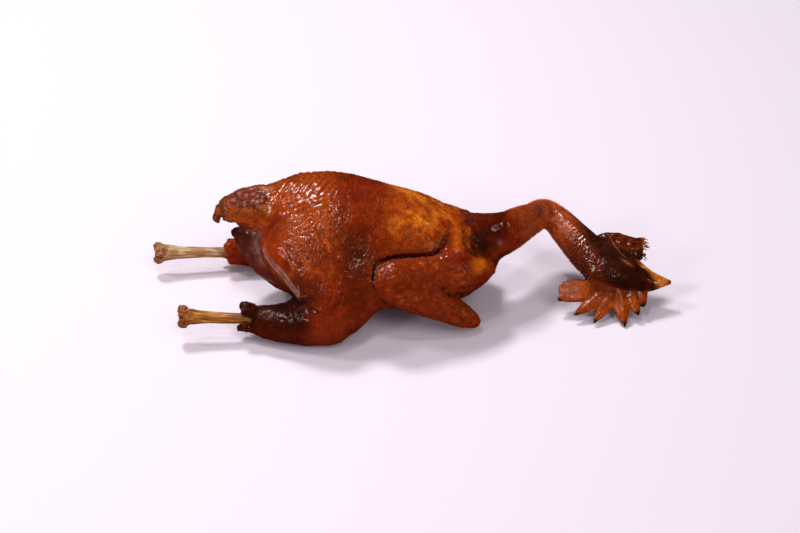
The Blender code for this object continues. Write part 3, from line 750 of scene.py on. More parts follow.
def makeSkin(name, voxel, keepFrom=None, keepTo=None):
    skin = remeshed(mergedCopy("bird", name, keepFrom, keepTo), voxel, skinBuild["smoothing"])
    if keepTo:
        easeShoulder(skin)
    points = pointsOf(skin.data)
    masks, head = regionMasks(points)
    roundComb(points, masks, head)
    shapeCuff(points)
    movePoints(skin.data, points)
    normals = readVectors(skin.data.vertex_normals, "vector")
    strokes = strokesOn(points)
    lift = skinRelief(points, masks, head, strokes)
    # where the two meshes overlap, each dives under the other
    past = (points[:, 0] - skinBuild["cut"]) * (1 if keepTo else -1)
    dive = ramp(-0.5, skinBuild["overlap"], past)
    lift -= skinBuild["dive"] * dive
    movePoints(skin.data, points + normals * lift[:, None])
    keepValues(skin.data, "tint", tintSkin(points, masks, head, strokes), "FLOAT_COLOR")
    for label, values in skinValues(points, masks, head, dive).items():
        keepValues(skin.data, label, values)
    triangles = 2 * len(skin.data.polygons)
    print(name, triangles, "triangles before thinning")
    if triangles > skinBuild["triangles"]:
        modify(skin, "Thin", "DECIMATE", ratio=skinBuild["triangles"] / triangles)
        settle(skin)
    skin.data.shade_smooth()
    return skin


# nodes, for the trees that scatter and for the finishes

def setInputs(tree, node, inputs):
    # each input gets its number or colour, or a link
    for key, value in inputs.items():
        if isinstance(value, bpy.types.NodeSocket):
            tree.links.new(value, node.inputs[key])
        else:
            node.inputs[key].default_value = value


def addNode(tree, kind, inputs, **settings):
    made = tree.nodes.new(kind)
    for key, value in settings.items():
        setattr(made, key, value)
    setInputs(tree, made, inputs)
    return made


def mathNode(tree, kind, first, second, third=1.0):
    return addNode(tree, "ShaderNodeMath", {0: first, 1: second, 2: third}, operation=kind).outputs[0]


# what repeats over the skin: pimples, crumbs, beads and the neck's follicles

lumpLook = {
    "rearPimples": {"spacing": 1.75, "most": 0.42, "radius": 0.74, "height": 0.6, "seed": 4},
    "frontPimples": {"spacing": 1.7, "most": 0.36, "radius": 0.86, "height": 0.66, "seed": 6},
    "legPimples": {"spacing": 1.8, "most": 0.45, "radius": 0.8, "height": 0.65, "seed": 7},
    "crumbs": {"spacing": 1.6, "most": 0.4, "radius": 0.9, "height": 0.5, "seed": 9},
    "beads": {"spacing": 1.2, "most": 0.9, "radius": 0.4, "height": 0.3, "seed": 5},
}
lumpVary = (0.7, 1.2)  # smallest and largest, times its own size
follicleLook = {
    "ringPitch": 2.0,
    "phase": 0.5,
    "gap": 1.6,  # between follicles round a ring
    "reach": (24, 196),  # along the neck
    "radius": 0.45,
    "height": 1.1,
    "sizes": (0.65, 1.15),
    # how much paler the follicles are than the skin: their own pale tips, and painted highlight
    "paleTipAndHighlight": 2.1,  # than the skin they stand on
    "gold": (0.035, 0.014, 0.004),
    "lean": 0.3,  # how far each leans back along the neck
    "tilt": 0.12,
    "jitter": 0.3,
    "sunk": 0.15,
    "search": 40,  # how far out of the neck's line a ray looks for the skin
    "rootSize": 0.7,  # times the size further along
    "rootReach": (70, 112),
    "shineSize": 0.35,  # times the size beside the shine
    "shineReach": (2.5, 6),
    "least": 0.3,
    "seed": 11,
}


def nodeTree(name, inputs):
    tree = bpy.data.node_groups.new(name, "GeometryNodeTree")
    tree.interface.new_socket("Geometry", in_out="INPUT", socket_type="NodeSocketGeometry")
    for label, kind in inputs.items():
        tree.interface.new_socket(label, in_out="INPUT", socket_type="NodeSocket" + kind)
    tree.interface.new_socket("Geometry", in_out="OUTPUT", socket_type="NodeSocketGeometry")
    return tree, tree.nodes.new("NodeGroupInput").outputs


def readValue(tree, name, kind="FLOAT"):
    reader = addNode(tree, "GeometryNodeInputNamedAttribute", {"Name": name}, data_type=kind)
    return reader.outputs["Attribute"]


def placeLumps(tree, given, lump, points, turned, size):
    # one lump on each point, wide and high by its own size, made real and given its finish
    wide, high = (mathNode(tree, "MULTIPLY", size, given[label]) for label in ("Radius", "Height"))
    scale = addNode(tree, "ShaderNodeCombineXYZ", {"X": wide, "Y": wide, "Z": high})
    place = addNode(tree, "GeometryNodeInstanceOnPoints", {
        "Points": points, "Rotation": turned, "Instance": lump, "Scale": scale.outputs["Vector"],
    })
    real = addNode(tree, "GeometryNodeRealizeInstances", {"Geometry": place.outputs["Instances"]})
    smooth = addNode(tree, "GeometryNodeSetShadeSmooth", {"Geometry": real.outputs["Geometry"]})
    paint = addNode(tree, "GeometryNodeSetMaterial", {
        "Geometry": smooth.outputs["Geometry"], "Material": given["Finish"],
    })
    addNode(tree, "NodeGroupOutput", {"Geometry": paint.outputs["Geometry"]})
    return tree


def lumpTree():
    tree, given = nodeTree("lumpsOnSkin", {
        "Spacing": "Float", "Most": "Float", "Radius": "Float", "Height": "Float",
        "Seed": "Int", "Density": "String", "Finish": "Material",
    })
    scatter = addNode(tree, "GeometryNodeDistributePointsOnFaces", {
        "Mesh": given["Geometry"], "Distance Min": given["Spacing"], "Density Max": given["Most"],
        "Seed": given["Seed"], "Density Factor": readValue(tree, given["Density"]),
    }, distribute_method="POISSON").outputs
    lump = addNode(tree, "GeometryNodeMeshIcoSphere", {"Radius": 1.0, "Subdivisions": 1})
    vary = addNode(tree, "FunctionNodeRandomValue", {
        2: lumpVary[0], 3: lumpVary[1], "Seed": given["Seed"],
    }, data_type="FLOAT")
    size = mathNode(tree, "MULTIPLY", readValue(tree, "pimpleSize"), vary.outputs[1])
    return placeLumps(tree, given, lump.outputs["Mesh"], scatter["Points"], scatter["Rotation"], size)


def follicleTree():
    tree, given = nodeTree("folliclesOnNeck", {"Radius": "Float", "Height": "Float", "Finish": "Material"})
    spike = addNode(tree, "GeometryNodeMeshCone", {
        "Vertices": 5, "Radius Top": 0.5, "Radius Bottom": 1.0, "Depth": 1.0,
    })
    points = addNode(tree, "GeometryNodeMeshToPoints", {"Mesh": given["Geometry"]})
    facing = readValue(tree, "facing", "FLOAT_VECTOR")
    turn = addNode(tree, "FunctionNodeAlignRotationToVector", {"Vector": facing}, axis="Z")
    size = readValue(tree, "size")
    return placeLumps(
        tree, given, spike.outputs["Mesh"], points.outputs["Points"], turn.outputs["Rotation"], size,
    )


def grown(name, base, tree, values):
    # runs a tree on a base mesh and keeps what it grows as a plain piece
    carrier = link(name + "Carrier", base)
    grow = modify(carrier, "Grow", "NODES", node_group=tree)
    for socket in tree.interface.items_tree:
        if socket.in_out == "INPUT" and socket.name in values:
            grow[socket.identifier] = values[socket.name]
    mesh = evaluated(carrier)
    bpy.data.objects.remove(carrier)
    movePoints(mesh, pointsOf(mesh))
    print(name, len(mesh.polygons), "faces")
    return link(name, mesh)


def makeLumps(kind, base, tree, finish):
    look = lumpLook[kind]
    return grown(kind, base.data, tree, {
        "Spacing": look["spacing"] * mm, "Most": look["most"] / mm**2, "Radius": look["radius"] * mm,
        "Height": look["height"] * mm, "Seed": look["seed"], "Density": kind, "Finish": finish,
    })


def tintNear(piece, places):
    # the skin's own colour at each place
    tree = KDTree(len(piece.data.vertices))
    for k, point in enumerate(pointsOf(piece.data)):
        tree.insert(point, k)
    tree.balance()
    flat = np.empty(len(piece.data.vertices) * 4, np.float32)
    piece.data.attributes["tint"].data.foreach_get("color", flat)
    tints = flat.reshape(-1, 4)[:, :3]
    return np.array([tints[tree.find(p)[1]] for p in places])


def ringPlaces(surface):
    # rings of places round the neck, each with the way it faces and its size
    dice = random.Random(follicleLook["seed"])
    lengths = np.r_[0, np.cumsum(np.linalg.norm(np.diff(neckLine, axis=0), axis=1))]
    lastStep = Vector(neckLine[-1] - neckLine[-2]).normalized()

    def onLine(place):
        return Vector([np.interp(place, lengths, neckLine[:, k]) for k in range(3)])

    pitch, tilt, jitter = (follicleLook[name] for name in ("ringPitch", "tilt", "jitter"))
    low, high = follicleLook["reach"]
    ring = (math.ceil(low / pitch) + follicleLook["phase"]) * pitch
    places, facings, sizes = [], [], []
    while ring < high:
        beyond = max(0, ring - lengths[-1])
        middle = onLine(ring) + lastStep * beyond
        ahead = lastStep if beyond else (middle - onLine(ring - 1)).normalized()
        across = ahead.cross(upward).normalized()
        up = across.cross(ahead)
        start = dice.random()
        turns = 0.0
        while turns < 2 * math.pi:
            angle = turns + start
            outward = across * math.cos(angle) + up * math.sin(angle)
            hit, normal, _, away = surface.ray_cast(middle, outward, follicleLook["search"])
            if hit is None:
                turns += 0.1
                continue
            turns += follicleLook["gap"] / max(away, 6)
            leaning = (normal - ahead * follicleLook["lean"]).normalized()
            facings.append((leaning + Vector([dice.uniform(-tilt, tilt) for _ in range(3)])).normalized())
            places.append(hit + ahead * dice.uniform(-jitter, jitter) - normal * follicleLook["sunk"])
            sizes.append(dice.uniform(*follicleLook["sizes"]))
        ring += pitch
    return np.array(places), np.array(facings), np.array(sizes)


def makeFollicles(name, skin, finish):
    points, facings, sizes = ringPlaces(surfaceOf(skin))
    masks, _ = regionMasks(points)
    gap, _ = alongPath(points, neckShine)
    root, shine = follicleLook["rootSize"], follicleLook["shineSize"]
    size = sizes * (root + (1 - root) * ramp(*follicleLook["rootReach"], masks["along"]))
    size *= (1 - 0.5 * masks["head"]) * (shine + (1 - shine) * ramp(*follicleLook["shineReach"], gap))
    kept = (points[:, 0] > 50) & (masks["comb"] < 0.2) & (masks["throat"] < 0.5)
    kept &= size > follicleLook["least"]
    mesh = bpy.data.meshes.new(name)
    mesh.from_pydata([Vector(p) * mm for p in points[kept]], [], [])
    keepValues(mesh, "facing", facings[kept], "FLOAT_VECTOR")
    keepValues(mesh, "size", size[kept])
    tints = tintNear(skin, points[kept]) * follicleLook["paleTipAndHighlight"] + np.array(follicleLook["gold"])
    keepValues(mesh, "tint", tints, "FLOAT_COLOR")
    keepValues(mesh, "dryness", np.zeros(kept.sum()))
    return grown(name, mesh, follicleTree(), {
        "Radius": follicleLook["radius"] * mm, "Height": follicleLook["height"] * mm, "Finish": finish,
    })


# ragged ends: sinew on the bones, shreds at the throat and the cuffs, threads on the skin

strandLook = {"shade": (0.8, 0.45), "dryness": 0.3, "sideways": (0.13, 0.21, 0.97)}


def strandMesh(strands, sides=6):
    # each strand is a path, a width at its root and one at its tip, how flat it is, and a colour
    shell = bmesh.new()
    layer = shell.verts.layers.float_color.new("tint")
    darkest, gain = strandLook["shade"]
    for path, rootWidth, tipWidth, flat, hue in strands:
        rings = []
        for k, place in enumerate(path):
            share = k / (len(path) - 1)
            ahead = Vector(path[min(k + 1, len(path) - 1)] - path[max(k - 1, 0)]).normalized()
            across = ahead.cross(Vector(strandLook["sideways"])).normalized()
            up = across.cross(ahead)
            width = rootWidth + (tipWidth - rootWidth) * share
            shade = darkest + gain * share
            ring = []
            for j in range(sides):
                angle = 2 * math.pi * j / sides
                spot = Vector(place) + across * math.cos(angle) * width + up * math.sin(angle) * width * flat
                vert = shell.verts.new(spot * mm)
                vert[layer] = (*(c * shade for c in hue), 1)
                ring.append(vert)
            rings.append(ring)
        for a, b in zip(rings, rings[1:]):
            for j in range(sides):
                shell.faces.new((a[j], a[(j + 1) % sides], b[(j + 1) % sides], b[j]))
        shell.faces.new(list(reversed(rings[0])))
        shell.faces.new(rings[-1])
    bmesh.ops.recalc_face_normals(shell, faces=shell.faces)
    mesh = fromShell("strands", shell)
    movePoints(mesh, pointsOf(mesh))
    keepValues(mesh, "dryness", np.full(len(mesh.vertices), strandLook["dryness"]))
    mesh.shade_smooth()
    return mesh


def strandPath(root, heading, length, curl, dice, steps=5):
    path = [Vector(root)]
    heading = Vector(heading).normalized()
    for _ in range(steps):
        heading = (heading + Vector([dice.uniform(-curl, curl) for _ in range(3)])).normalized()
        path.append(path[-1] + heading * length / steps)
    return [np.array(p) for p in path]


boneLook = {
    "voxel": 0.45,
    "near": {"hue": shown(168, 96, 26), "pale": shown(208, 148, 62), "darkTone": shown(104, 48, 16),
             "low": shown(146, 52, 12), "end": shown(150, 82, 32), "strands": 22, "seed": 3},
    "far": {"hue": shown(184, 132, 84), "pale": shown(220, 184, 140), "darkTone": shown(128, 76, 34),
            "low": shown(164, 108, 40), "end": shown(160, 92, 46), "strands": 18, "seed": 8},
    "marrow": {"depth": 4.5, "radius": 3.2, "hue": shown(84, 34, 18)},
    "smoothing": 2,
    "flute": 0.35,  # height of the grooves along the shaft
    "ragged": 0.5,  # height of the broken end's lumps
    "pitDepth": 0.9,
    # size and seed of each grain
    "grains": {"flute": (2.0, 31), "coarse": (2.6, 32), "fine": (1.2, 33), "lines": (1.7, 34),
               "blotches": (7, 35), "end": (2.4, 36), "pits": (2.7, 37)},
}
sinewLook = {
    "stray": 0.3, "back": (1, 9), "out": (4.2, 5.6), "ahead": (0.5, 1.2), "aside": (0.1, 0.8),
    "length": (1.8, 3.8), "curl": 0.25, "paleShare": 0.45, "width": (0.8, 1.7), "tip": (0.15, 0.5),
    "flat": 0.35,
}


def boneAxis(side):
    ankle, end = (np.array(legs[side][place], float) for place in ("ankle", "boneEnd"))
    length = np.linalg.norm(end - ankle)
    return ankle, (end - ankle) / length, length


def makeBone(side):
    look = boneLook[side]
    marrow, grains = boneLook["marrow"], boneLook["grains"]
    name = "bareShin" + side.title()
    bone = remeshed(mergedCopy("shin_bone_" + side, name), boneLook["voxel"], boneLook["smoothing"])
    points, normals = pointsOf(bone.data), readVectors(bone.data.vertex_normals, "vector")
    ankle, axis, length = boneAxis(side)
    along = (points - ankle) @ axis
    off = points - ankle - along[:, None] * axis
    girth = np.linalg.norm(off, axis=1)
    stretched = points - 0.85 * along[:, None] * axis
    atEnd = ramp(length - 15, length - 3, along)
    lift = boneLook["flute"] * grain(stretched, *grains["flute"]) * (1 + atEnd)
    lumps = grain(points, *grains["coarse"]) + 0.5 * grain(points, *grains["fine"])
    lift += boneLook["ragged"] * atEnd * lumps
    pits = atEnd * ramp(0.12, 0.4, grain(points, *grains["pits"]))
    lift -= boneLook["pitDepth"] * pits
    broken = ramp(0.5, 0.9, normals @ axis) * (along > length - 8)
    hole = broken * ramp(marrow["radius"] + 1.4, marrow["radius"] - 1, girth)
    movePoints(bone.data, points + normals * lift[:, None] - axis * (hole * marrow["depth"])[:, None])

    tint, lay = painter(len(points), {**look, "marrow": marrow["hue"]}, "hue")
    lines = grain(stretched, *grains["lines"])
    blotches = grain(points, *grains["blotches"])
    below = off[:, 2]
    lay("pale", ramp(0.0, 0.5, lines + blotches * 0.6) * (1 - atEnd))
    lay("darkTone", ramp(0.15, 0.5, -lines + 0.4 * blotches) * 0.75)
    # darker over the bone's lower half
    lay("darkTone", ramp(0, -4, below) * 0.55)
    lay("low", band(-4.5, -1.5, 0.8, below) * (1 - atEnd) * ramp(-0.3, 0.3, blotches + 0.3 * lines) * 0.7)
    lay("end", atEnd * ramp(-0.3, 0.3, blotches + grain(points, *grains["end"])))
    # darker next to the cuff
    lay("darkTone", ramp(13, 6, along) * 0.5)
    lay("marrow", np.maximum(hole, pits * 0.85))
    keepValues(bone.data, "tint", tint, "FLOAT_COLOR")
    keepValues(bone.data, "dryness", atEnd)
    bone.data.shade_smooth()
    print(name, len(bone.data.polygons), "faces")
    return bone


def roundBone(side, count, stray, dice):
    # ways out of the bone, spread round it: its axis, up, and each way with its angle
    axis = Vector(boneAxis(side)[1])
    across = axis.cross(upward).normalized()
    up = across.cross(axis)
    for k in range(count):
        angle = 2 * math.pi * (k + dice.uniform(-stray, stray)) / count
        yield axis, up, across * math.cos(angle) + up * math.sin(angle), angle


def makeSinew(side):
    look = boneLook[side]
    dice = random.Random(look["seed"])

    def draw(name):
        return dice.uniform(*sinewLook[name])

    strands = []
    for axis, _, out, _ in roundBone(side, look["strands"], sinewLook["stray"], dice):
        root = Vector(legs[side]["boneEnd"]) - axis * draw("back") + out * draw("out")
        heading = axis * draw("ahead") + out * draw("aside")
        path = strandPath(root, heading, draw("length"), sinewLook["curl"], dice)
        hue = look["pale"] if dice.random() < sinewLook["paleShare"] else look["end"]
        strands.append((path, draw("width"), draw("tip"), sinewLook["flat"], hue))
    return link("sinew" + side.title(), strandMesh(strands))


cuffLook = {
    "near": {"count": 18, "reach": (-2, 3.0), "radius": 8.6, "width": (0.8, 1.8), "length": (2.5, 5.5),
             "rise": 3.4, "hues": [shown(92, 30, 10), shown(70, 20, 7), shown(116, 44, 16)], "seed": 31},
    "far": {"count": 16, "reach": (-2, 2.0), "radius": 8.2, "width": (0.9, 1.9), "length": (2.0, 4.0),
            "rise": 2.0, "hues": [shown(150, 44, 16), shown(118, 32, 10), shown(168, 64, 26)], "seed": 32},
    "both": {"stray": 0.4, "behind": 3, "sunk": 1.5, "ahead": (0.7, 1.3), "aside": (0.0, 0.5),
             "upwards": 0.25, "curl": 0.3, "tip": 0.45, "flat": 0.8, "sides": 8},
}


def makeCuff(side):
    # torn skin round the bone, highest on top
    look = {**cuffLook["both"], **cuffLook[side]}
    dice = random.Random(look["seed"])
    strands = []
    for axis, up, out, angle in roundBone(side, look["count"], look["stray"], dice):
        high = max(0.0, math.sin(angle))
        root = Vector(legs[side]["ankle"]) + axis * (dice.uniform(*look["reach"]) - look["behind"])
        root += out * (look["radius"] - look["sunk"]) + up * look["rise"] * high * 0.5
        heading = axis * dice.uniform(*look["ahead"]) + out * dice.uniform(*look["aside"])
        heading += up * look["upwards"] * high
        path = strandPath(root, heading, dice.uniform(*look["length"]), look["curl"], dice)
        wide = dice.uniform(*look["width"])
        strands.append((path, wide, wide * look["tip"], look["flat"], dice.choice(look["hues"])))
    return link("cuff" + side.title(), strandMesh(strands, look["sides"]))


shredLook = {
    # where a torn edge is (along the head, towards the throat, out of the cheek), its spread and heading
    "edges": [
        {"from": (15.5, 21.5, 1.0), "spread": (2.5, 5.0, 3.5), "to": (3.0, -0.5, 0.3), "count": 34,
         "length": (1.8, 4.6), "width": (0.5, 0.95), "seed": 21},
        {"from": (14.0, 11.5, 1.5), "spread": (2.0, 3.0, 2.5), "to": (3.0, -1.5, 0.3), "count": 16,
         "length": (1.5, 3.2), "width": (0.5, 0.9), "seed": 22},
    ],
    "tip": 0.15,
    "stray": 1.3,
    "hues": [
        shown(206, 150, 84), shown(176, 96, 36), shown(112, 46, 18), shown(222, 186, 136), shown(150, 70, 26),
    ],
}


def makeShreds():
    strands = []
    stray = shredLook["stray"]
    for look in shredLook["edges"]:
        dice = random.Random(look["seed"])
        for _ in range(look["count"]):
            root = [a + dice.uniform(-r, r) for a, r in zip(look["from"], look["spread"])]
            tip = [a + b + dice.uniform(-stray, stray) for a, b in zip(root, look["to"])]
            start, stop = fromHead(*root), fromHead(*tip)
            path = strandPath(start, stop - start, dice.uniform(*look["length"]), 0.4, dice)
            wide = dice.uniform(*look["width"])
            strands.append((path, wide, shredLook["tip"], 0.6, dice.choice(shredLook["hues"])))
    return link("throatShreds", strandMesh(strands))


fibreLook = {
    # fine threads of skin, laid on the surface: colour and corners
    "width": 0.34,
    "tip": 0.14,
    "above": 0.08,
    "stray": 1.6,  # of the thinner threads beside each
    "strayWidth": 0.65,
    "strayShade": 0.42,
    "seed": 51,
    "hues": {"pale": shown(190, 138, 116), "brown": shown(142, 88, 60), "dark": shown(150, 96, 70)},
    "bodySkin": [
        ("pale", seams["thighEdge"]),
        ("pale", seams["thighInner"]),
        ("pale", [(-87.9, -56.4, 62.5), (-81.8, -61.1, 56.5), (-78.1, -63.3, 50.6), (-77.4, -62.8, 45.5)]),
        ("dark", [(-91, -54.6, 60), (-85.5, -58.6, 54), (-80, -61.5, 48.2), (-77.8, -62.2, 45)]),
        ("pale", [(-77.1, -63.8, 55.7), (-76.4, -64.2, 50), (-77.2, -62.9, 45)]),
        ("dark", [(-70, -67.8, 49.8), (-74, -65.3, 47), (-77.5, -62.5, 44.5)]),
        ("dark", seams["bellyRim"]),
    ],
    "neckSkin": [
        ("brown", [(166, 17.9, 48.3), (169.6, 12.7, 46), (172.7, 3.3, 44.6), (175.4, -1.3, 43),
                   (179.1, -5.2, 40.8)]),
    ],
    # on the near side and the far one in turn; from the third on they stray
    "sides": {"bodySkin": (1, -1, 1, -1, 1, -1), "neckSkin": (1,)},
}


def makeFibres(skin):
    surface = surfaceOf(skin)
    dice = random.Random(fibreLook["seed"])
    strands = []
    for hue, corners in fibreLook[skin.name]:
        for k, flip in enumerate(fibreLook["sides"][skin.name]):
            strays = k > 1
            stray = fibreLook["stray"] * strays
            moved = [
                (x + dice.uniform(-stray, stray), flip * y, z + dice.uniform(-stray, stray))
                for x, y, z in corners
            ]
            path = []
            for place in smoothPath(moved, 4):
                spot, normal, _, _ = surface.find_nearest(Vector(place))
                path.append(np.array(spot + normal * fibreLook["above"]))
            wide = fibreLook["width"] * (fibreLook["strayWidth"] if strays else 1.0)
            shade = fibreLook["strayShade"] if strays else 1.0
            strands.append((path, wide, fibreLook["tip"], 0.7, [c * shade for c in fibreLook["hues"][hue]]))
    return link("fibres" + skin.name[:4].title(), strandMesh(strands))


# finishes

noiseMiddle = (0.3, 0.7)  # most of a noise lies between these
glaze = {
    "mottle": (6.0, 0.72, 1.28),  # size, darkest, lightest
    "fleck": (1.7, 0.72, 1.28),
    "poreSize": 2.5,
    "poreShade": (0.1, 0.6, 1.08, 0.86),
    "roughness": (3.0, 0.36, 0.55),
    "dryRoughness": 0.25,
    "dryCoat": -0.95,  # what a dry place loses of its coat
    "domes": -1.15,
    "leastDome": 0.15,
    "fineSize": 1.1,
    "fineBump": 0.14,
    "bumpHeight": 0.5,
    "specular": 0.24,
    "sheen": shown(255, 110, 30),  # the dark glaze colours what it mirrors broadly
    "coat": 0.9,
    "coatRoughness": 0.08,
}
boneFinish = {
    "fleck": (1.1, 0.84, 1.16), "roughness": (3.0, 0.22, 0.42), "specular": 0.4, "coat": 0.4,
    "coatRoughness": 0.12, "bumpSize": 0.8, "bumpHeight": 0.12,
}
floorFinish = {"hue": shown(246, 234, 248), "roughness": 0.7}


def makeMaterial(name):
    made = bpy.data.materials.new(name)
    made.use_nodes = True
    tree = made.node_tree
    return made, tree, tree.nodes["Principled BSDF"]


def noiseNode(tree, place, size, detail=3.0):
    return addNode(tree, "ShaderNodeTexNoise", {
        "Vector": place, "Scale": 1 / (size * mm), "Detail": detail, "Roughness": 0.55,
    }).outputs["Fac"]


def mapNode(tree, value, fromLow, fromHigh, toLow, toHigh):
    return addNode(tree, "ShaderNodeMapRange", {
        "Value": value, "From Min": fromLow, "From Max": fromHigh, "To Min": toLow, "To Max": toHigh,
    }).outputs["Result"]


def cloudNode(tree, place, look, detail=3.0, brightness=1.0):
    # soft noise between its darkest and its lightest
    size, darkest, lightest = look
    soft = noiseNode(tree, place, size, detail)
    return mapNode(tree, soft, *noiseMiddle, darkest * brightness, lightest * brightness)


def readAttribute(tree, name, output="Fac"):
    return addNode(tree, "ShaderNodeAttribute", {}, attribute_name=name).outputs[output]


def shadedTint(tree, shade):
    colour = readAttribute(tree, "tint", "Color")
    return addNode(tree, "ShaderNodeVectorMath", {0: colour, "Scale": shade}, operation="SCALE").outputs[0]


def bumpNode(tree, height, distance):
    return addNode(tree, "ShaderNodeBump", {
        "Strength": 1.0, "Distance": distance * mm, "Height": height,
    }).outputs["Normal"]


def glazedSkin(name, brightness=1.0):
    made, tree, shader = makeMaterial(name)
    place = tree.nodes.new("ShaderNodeTexCoord").outputs["Object"]
    dry = readAttribute(tree, "dryness")
    cells = addNode(tree, "ShaderNodeTexVoronoi", {"Vector": place, "Scale": 1 / (glaze["poreSize"] * mm)})
    cell = cells.outputs["Distance"]
    mottle = cloudNode(tree, place, glaze["mottle"], brightness=brightness)
    shade = mathNode(tree, "MULTIPLY", mottle, cloudNode(tree, place, glaze["fleck"], 2))
    shade = mathNode(tree, "MULTIPLY", shade, mapNode(tree, cell, *glaze["poreShade"]))
    rough = cloudNode(tree, place, glaze["roughness"])
    rough = mathNode(tree, "ADD", rough, mathNode(tree, "MULTIPLY", dry, glaze["dryRoughness"]))
    wet = mathNode(tree, "MULTIPLY", mathNode(tree, "MULTIPLY_ADD", dry, glaze["dryCoat"]), glaze["coat"])
    domes = mathNode(tree, "MULTIPLY", mathNode(tree, "MULTIPLY", cell, cell), glaze["domes"])
    strength = mathNode(tree, "ADD", readAttribute(tree, "pebbly"), glaze["leastDome"])
    domes = mathNode(tree, "MULTIPLY", domes, strength)
    fine = mathNode(tree, "MULTIPLY", noiseNode(tree, place, glaze["fineSize"], 2), glaze["fineBump"])
    bump = bumpNode(tree, mathNode(tree, "ADD", domes, fine), glaze["bumpHeight"])
    setInputs(tree, shader, {
        "Base Color": shadedTint(tree, shade),
        "Roughness": rough,
        "Specular IOR Level": glaze["specular"],
        "Specular Tint": (*glaze["sheen"], 1),
        "Coat Weight": wet,
        "Coat Roughness": glaze["coatRoughness"],
        "Normal": bump,
        "Coat Normal": bump,
    })
    return made


def bareBone(name):
    made, tree, shader = makeMaterial(name)
    place = tree.nodes.new("ShaderNodeTexCoord").outputs["Object"]
    setInputs(tree, shader, {
        "Base Color": shadedTint(tree, cloudNode(tree, place, boneFinish["fleck"], 2)),
        "Roughness": cloudNode(tree, place, boneFinish["roughness"]),
        "Specular IOR Level": boneFinish["specular"],
        "Coat Weight": boneFinish["coat"],
        "Coat Roughness": boneFinish["coatRoughness"],
        "Normal": bumpNode(tree, noiseNode(tree, place, boneFinish["bumpSize"], 2), boneFinish["bumpHeight"]),
    })
    return made


def plainFloor(name):
    made, tree, shader = makeMaterial(name)
    setInputs(tree, shader, {"Base Color": (*floorFinish["hue"], 1), "Roughness": floorFinish["roughness"]})
    return made


# camera, light and floor

camera = {"lens": 70, "pitch": 35, "distance": 1244, "aim": (0, 0, 29), "clip": (0.01, 20)}
light = {
    "lamps": {
        "key": {"at": (-560, 980, 1960), "size": 410, "power": 27},
        "left": {"at": (-1500, 180, 1650), "size": 300, "power": 10},
        "top": {"at": (-350, -420, 2200), "size": 220, "power": 6},
        "low": {"at": (-1350, -1150, 1080), "size": 320, "power": 5.2},
        "front": {"at": (-180, -1900, 1050), "size": 130, "power": 1.8},
        "slant": {"at": (-330, -900, 1950), "size": 150, "power": 1.7},
        "right": {"at": (1650, -1050, 900), "size": 130, "power": 1.6},
    },
    "lampHue": (1, 0.985, 0.98),
    "fill": {"from": (0.45, -0.75, 0.95), "spread": 30, "strength": 0.74, "hue": (1, 0.98, 1)},
    "sky": {"hue": (1, 0.96, 1), "strength": 0.1},
}
floorPlace = {"half": 4, "middle": (0, 1, -0.0001)}  # in metres


def aimed(name, data, place, ahead):
    # a camera or a lamp that looks ahead from its place
    holder = link(name, data)
    holder.location = place
    holder.rotation_euler = ahead.to_track_quat("-Z", "Y").to_euler()
    return holder


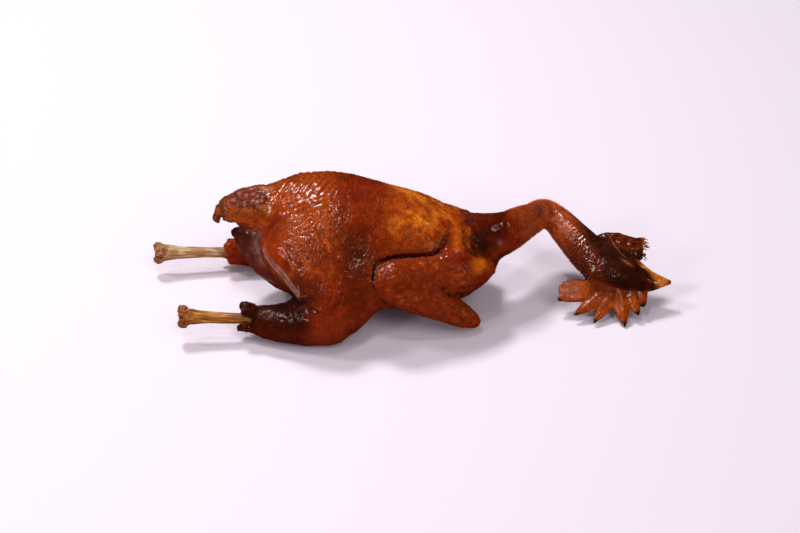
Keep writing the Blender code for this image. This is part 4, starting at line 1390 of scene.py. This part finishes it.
def setStage():
    aim = Vector(camera["aim"])
    pitch = math.radians(camera["pitch"])
    ahead = Vector((0, math.cos(pitch), -math.sin(pitch)))
    lens = bpy.data.cameras.new("camera")
    lens.lens = camera["lens"]
    lens.clip_start, lens.clip_end = camera["clip"]
    scene.camera = aimed("camera", lens, (aim - ahead * camera["distance"]) * mm, ahead)
    for name, look in light["lamps"].items():
        lamp = bpy.data.lights.new(name, "AREA")
        lamp.size = look["size"] * mm
        lamp.energy = look["power"]
        lamp.color = light["lampHue"]
        place = Vector(look["at"]) * mm
        aimed(name, lamp, place, aim * mm - place)
    fill = light["fill"]
    sun = bpy.data.lights.new("fill", "SUN")
    sun.angle = math.radians(fill["spread"])
    sun.energy = fill["strength"]
    sun.color = fill["hue"]
    aimed("fill", sun, (0, 0, 0), -Vector(fill["from"])).visible_glossy = False
    world = bpy.data.worlds.new("studio")
    world.use_nodes = True
    sky = light["sky"]
    setInputs(world.node_tree, world.node_tree.nodes["Background"], {
        "Color": (*sky["hue"], 1), "Strength": sky["strength"],
    })
    scene.world = world
    world.cycles_visibility.glossy = False
    scene.view_settings.view_transform = "Standard"
    sheet = bmesh.new()
    bmesh.ops.create_grid(sheet, x_segments=1, y_segments=1, size=floorPlace["half"])
    bmesh.ops.translate(sheet, verts=sheet.verts, vec=floorPlace["middle"])
    floor = painted(link("floor", fromShell("floor", sheet)), plainFloor("paleFloor"))
    floor.visible_glossy = False  # a dark room: only the lamps mirror in the glaze
    print("stage set")


# putting it together

def painted(piece, finish):
    piece.data.materials.clear()
    piece.data.materials.append(finish)
    return piece


def adopt(piece, slotName, *nodeNames):
    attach(piece, "root")
    if nodeNames:
        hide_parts(*nodeNames)


setStage()
skinFinish = glazedSkin("glazedSkin")
# the glaze of the lumps, follicles, shreds, threads and cuffs is 1.3 times brighter than the skin's, a
# painted highlight
highlitLumpFinish = glazedSkin("glazedPimple", 1.3)
boneMaterial = bareBone("bareBone")
cut, overlap = skinBuild["cut"], skinBuild["overlap"]
body = painted(makeSkin("bodySkin", skinBuild["bodyVoxel"], keepTo=cut + overlap), skinFinish)
neck = painted(makeSkin("neckSkin", skinBuild["neckVoxel"], keepFrom=cut - overlap), skinFinish)
for skin in (body, neck):
    adopt(skin, "braised_skin", "bird")
print("skin made")
lumps = lumpTree()
for kind in lumpLook:
    adopt(makeLumps(kind, neck if kind == "beads" else body, lumps, highlitLumpFinish), "braised_skin")
adopt(makeFollicles("neckFollicles", neck, highlitLumpFinish), "braised_skin")
adopt(painted(makeShreds(), highlitLumpFinish), "braised_skin")
for skin in (body, neck):
    adopt(painted(makeFibres(skin), highlitLumpFinish), "braised_skin")
print("shreds and threads made")
for side in legs:
    adopt(painted(makeBone(side), boneMaterial), "bare_bone_" + side, "shin_bone_" + side)
    adopt(painted(makeSinew(side), boneMaterial), "bare_bone_" + side)
    adopt(painted(makeCuff(side), highlitLumpFinish), "braised_skin")
print("bones made")
